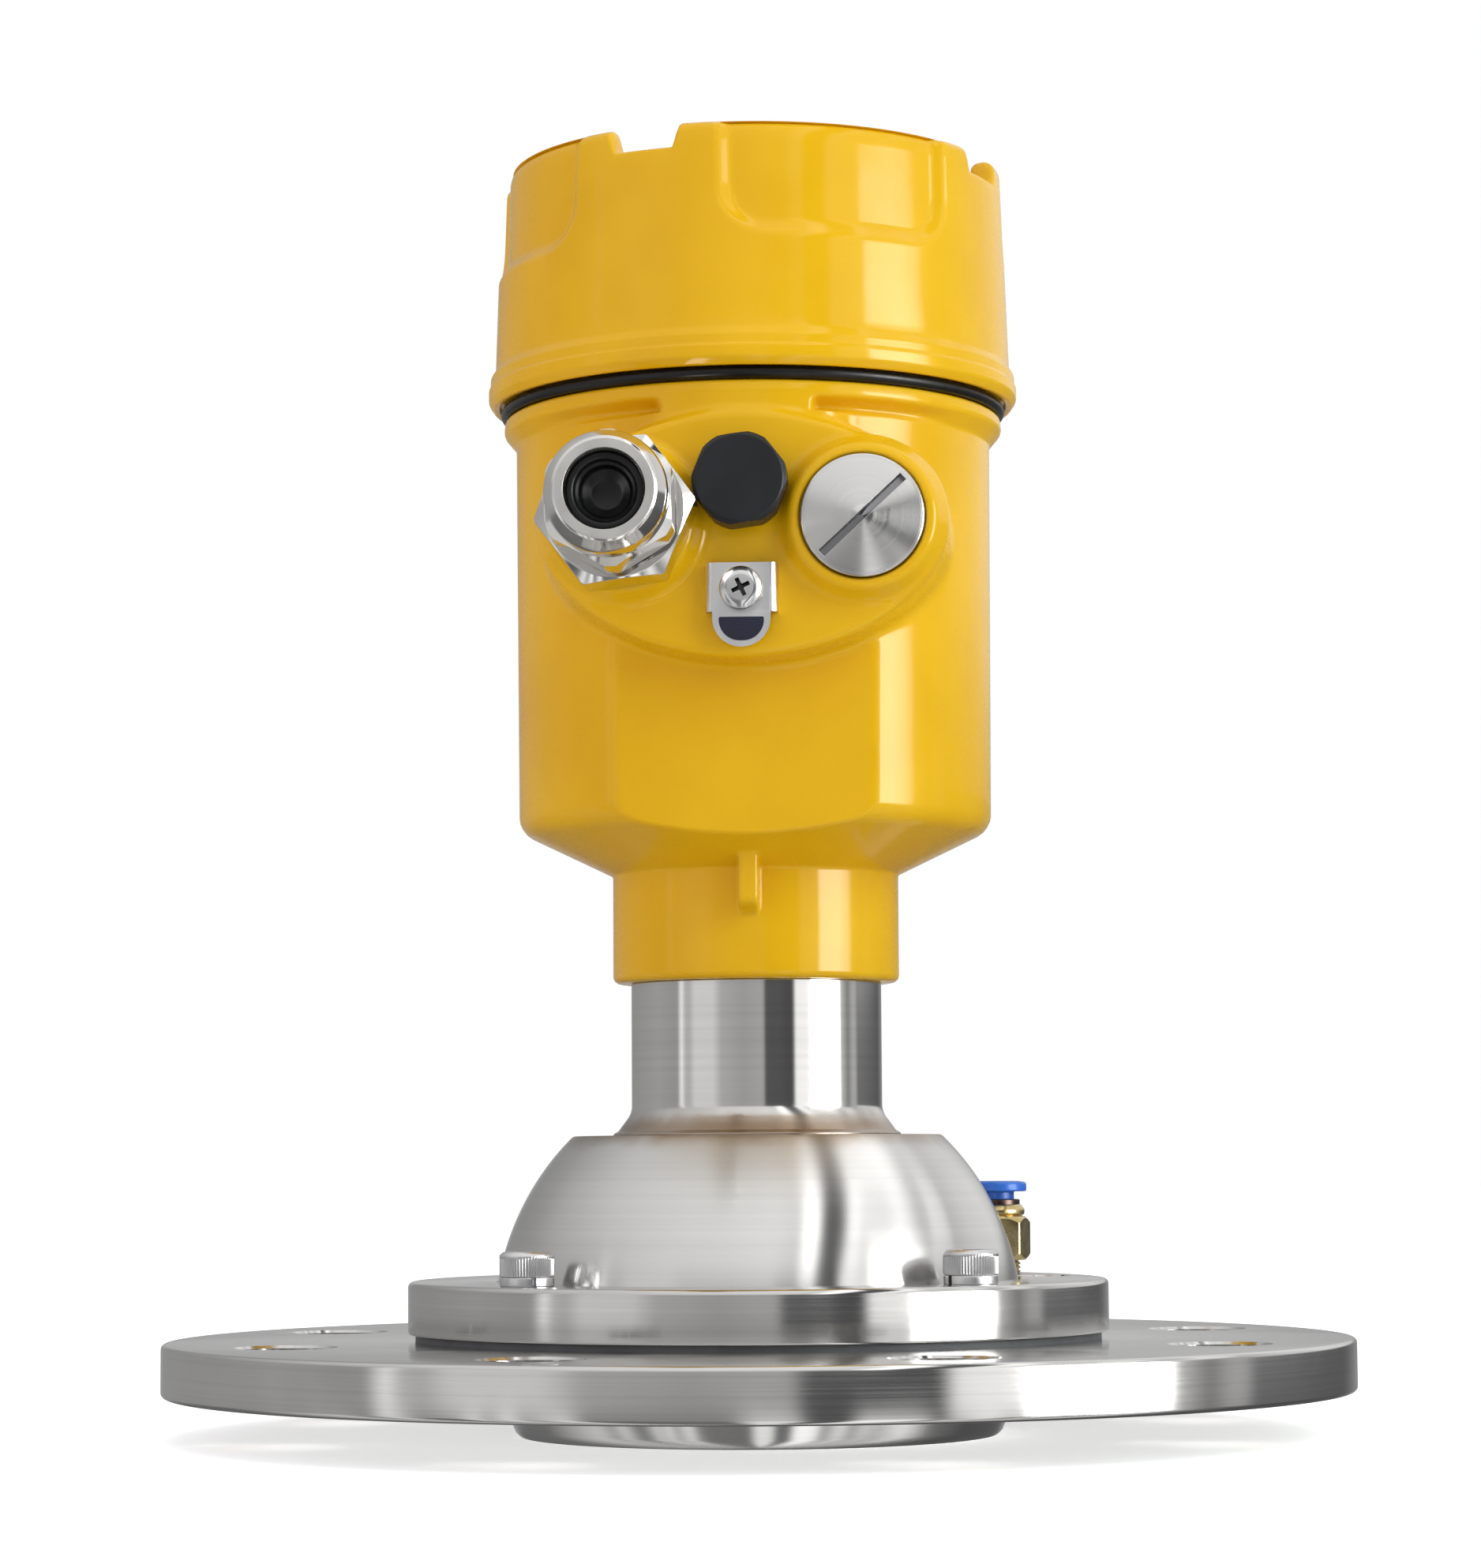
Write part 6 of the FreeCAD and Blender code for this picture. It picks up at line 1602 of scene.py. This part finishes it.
    def lamp(self, name: str, azimuth: float, elevation: float, distance: float, size: float,
             power: float, colour: Triple) -> None:
        """Square softbox aimed at the middle of the object, unseen by reflections.

        Args:
            name: Name of the lamp.
            azimuth: Degrees from -Y towards +X.
            elevation: Degrees above the floor.
            distance: Metres from the object.
            size: Side of the square.
            power: Watts.
            colour: Linear colour of its light.
        """
        data = bpy.data.lights.new(name, "AREA")
        data.shape = "SQUARE"
        data.size = size
        data.energy = power
        data.color = colour
        lamp = put_in_scene(name, data)
        target = Vector(self.target)
        flat, height = polar(distance, elevation)
        ahead, aside = polar(flat, azimuth)
        place = target + Vector((aside, -ahead, height))
        lamp.location = place
        lamp.rotation_euler = (target - place).to_track_quat("-Z", "Y").to_euler()
        lamp.visible_glossy = False

    def bands(self, sheet: Sheet, ray: Sequence[Socket], table: Sequence[tuple[float, float]],
              lean: float) -> tuple[Socket, Socket]:
        """Grey bands of the studio, as great circles through a common axis.

        Args:
            sheet: The world's nodes.
            ray: The three numbers of the direction.
            table: Degrees from -Y towards +X at the horizon, and brightness.
            lean: Degrees by which the axis leans back from upright.

        Returns:
            The colour as a share of the strongest band, and the turn about the axis from 0 to 1.
        """
        x, y, z = ray
        sine, cosine = math.sin(math.radians(lean)), math.cos(math.radians(lean))
        ahead = sheet.maths("MULTIPLY_ADD", z, sine, sheet.maths("MULTIPLY", y, -cosine))
        place = sheet.maths("MULTIPLY_ADD", sheet.maths("ARCTAN2", x, ahead), 1 / FULL_TURN, 0.5)
        ramp = sheet.add("ShaderNodeValToRGB")
        points = ramp.color_ramp.elements
        points[0].position, points[1].position = 0.0, 1.0
        for angle, _ in table[1:-1]:
            turn = math.radians(angle)
            points.new(math.atan2(math.sin(turn), math.cos(turn) * cosine) / FULL_TURN + 0.5)
        for point, (_, strength) in zip(points, table):
            share = strength / STRONGEST
            point.color = (share, share, share * (1.04 if strength < SHADED_BAND else 1.0), 1.0)
        sheet.feed(ramp.inputs[0], place)
        return ramp.outputs[0], place

    def world(self) -> None:
        """White to the camera, even for matt surfaces, and a studio with strips for gloss."""
        world = bpy.data.worlds.new("studio")
        bpy.context.scene.world = world
        world.use_nodes = True
        sheet = Sheet(world.node_tree)
        ray = sheet.split(sheet.add("ShaderNodeTexCoord").outputs["Generated"])
        low, place = self.bands(sheet, ray, self.low_sky, 0.0)
        high, _ = self.bands(sheet, ray, self.high_sky, self.sky_lean)
        under, _ = self.bands(sheet, ray, self.under_sky, 0.0)
        z = ray[2]
        level = sheet.maths("MULTIPLY", sheet.span(z, -0.3, -0.07, 0.7, 1.0),
                            sheet.span(z, 0.1, 0.7, 1.0, 1.2))
        right = sheet.maths("MULTIPLY", sheet.span(place, 0.78, 0.81), sheet.span(z, 0.06, 0.14))
        upper = sheet.maths("MAXIMUM", sheet.span(z, 0.22, 0.34), right)
        colour = sheet.blend(sheet.span(z, -0.26, -0.16), under, sheet.blend(upper, low, high))
        around = sheet.background(colour, sheet.maths("MULTIPLY", level, STRONGEST))
        even = sheet.background((1, 1, 1, 1), self.world_light)
        white = sheet.background((1, 1, 1, 1), 1.0)
        path = sheet.add("ShaderNodeLightPath").outputs
        gloss = sheet.mix(path["Is Glossy Ray"], even, around)
        direct = sheet.maths("MAXIMUM", path["Is Camera Ray"], path["Is Transmission Ray"])
        seen = sheet.mix(direct, gloss, white)
        sheet.feed(sheet.add("ShaderNodeOutputWorld").inputs["Surface"], seen)


def main() -> None:
    """Build the studio and every sub-assembly."""
    logging.basicConfig(level=logging.INFO, format="%(message)s")
    bench = Bench()
    Studio().build()
    for assembly in (ProcessFlange(), PurgeFitting(), BallJoint(), Housing(), CableGland(), FrontPlugs(),
                     ScrewCover()):
        LOG.info("-- %s", type(assembly).__name__)
        assembly.build(bench)
    bpy.context.view_layer.update()


if __name__ == "__main__":
    main()
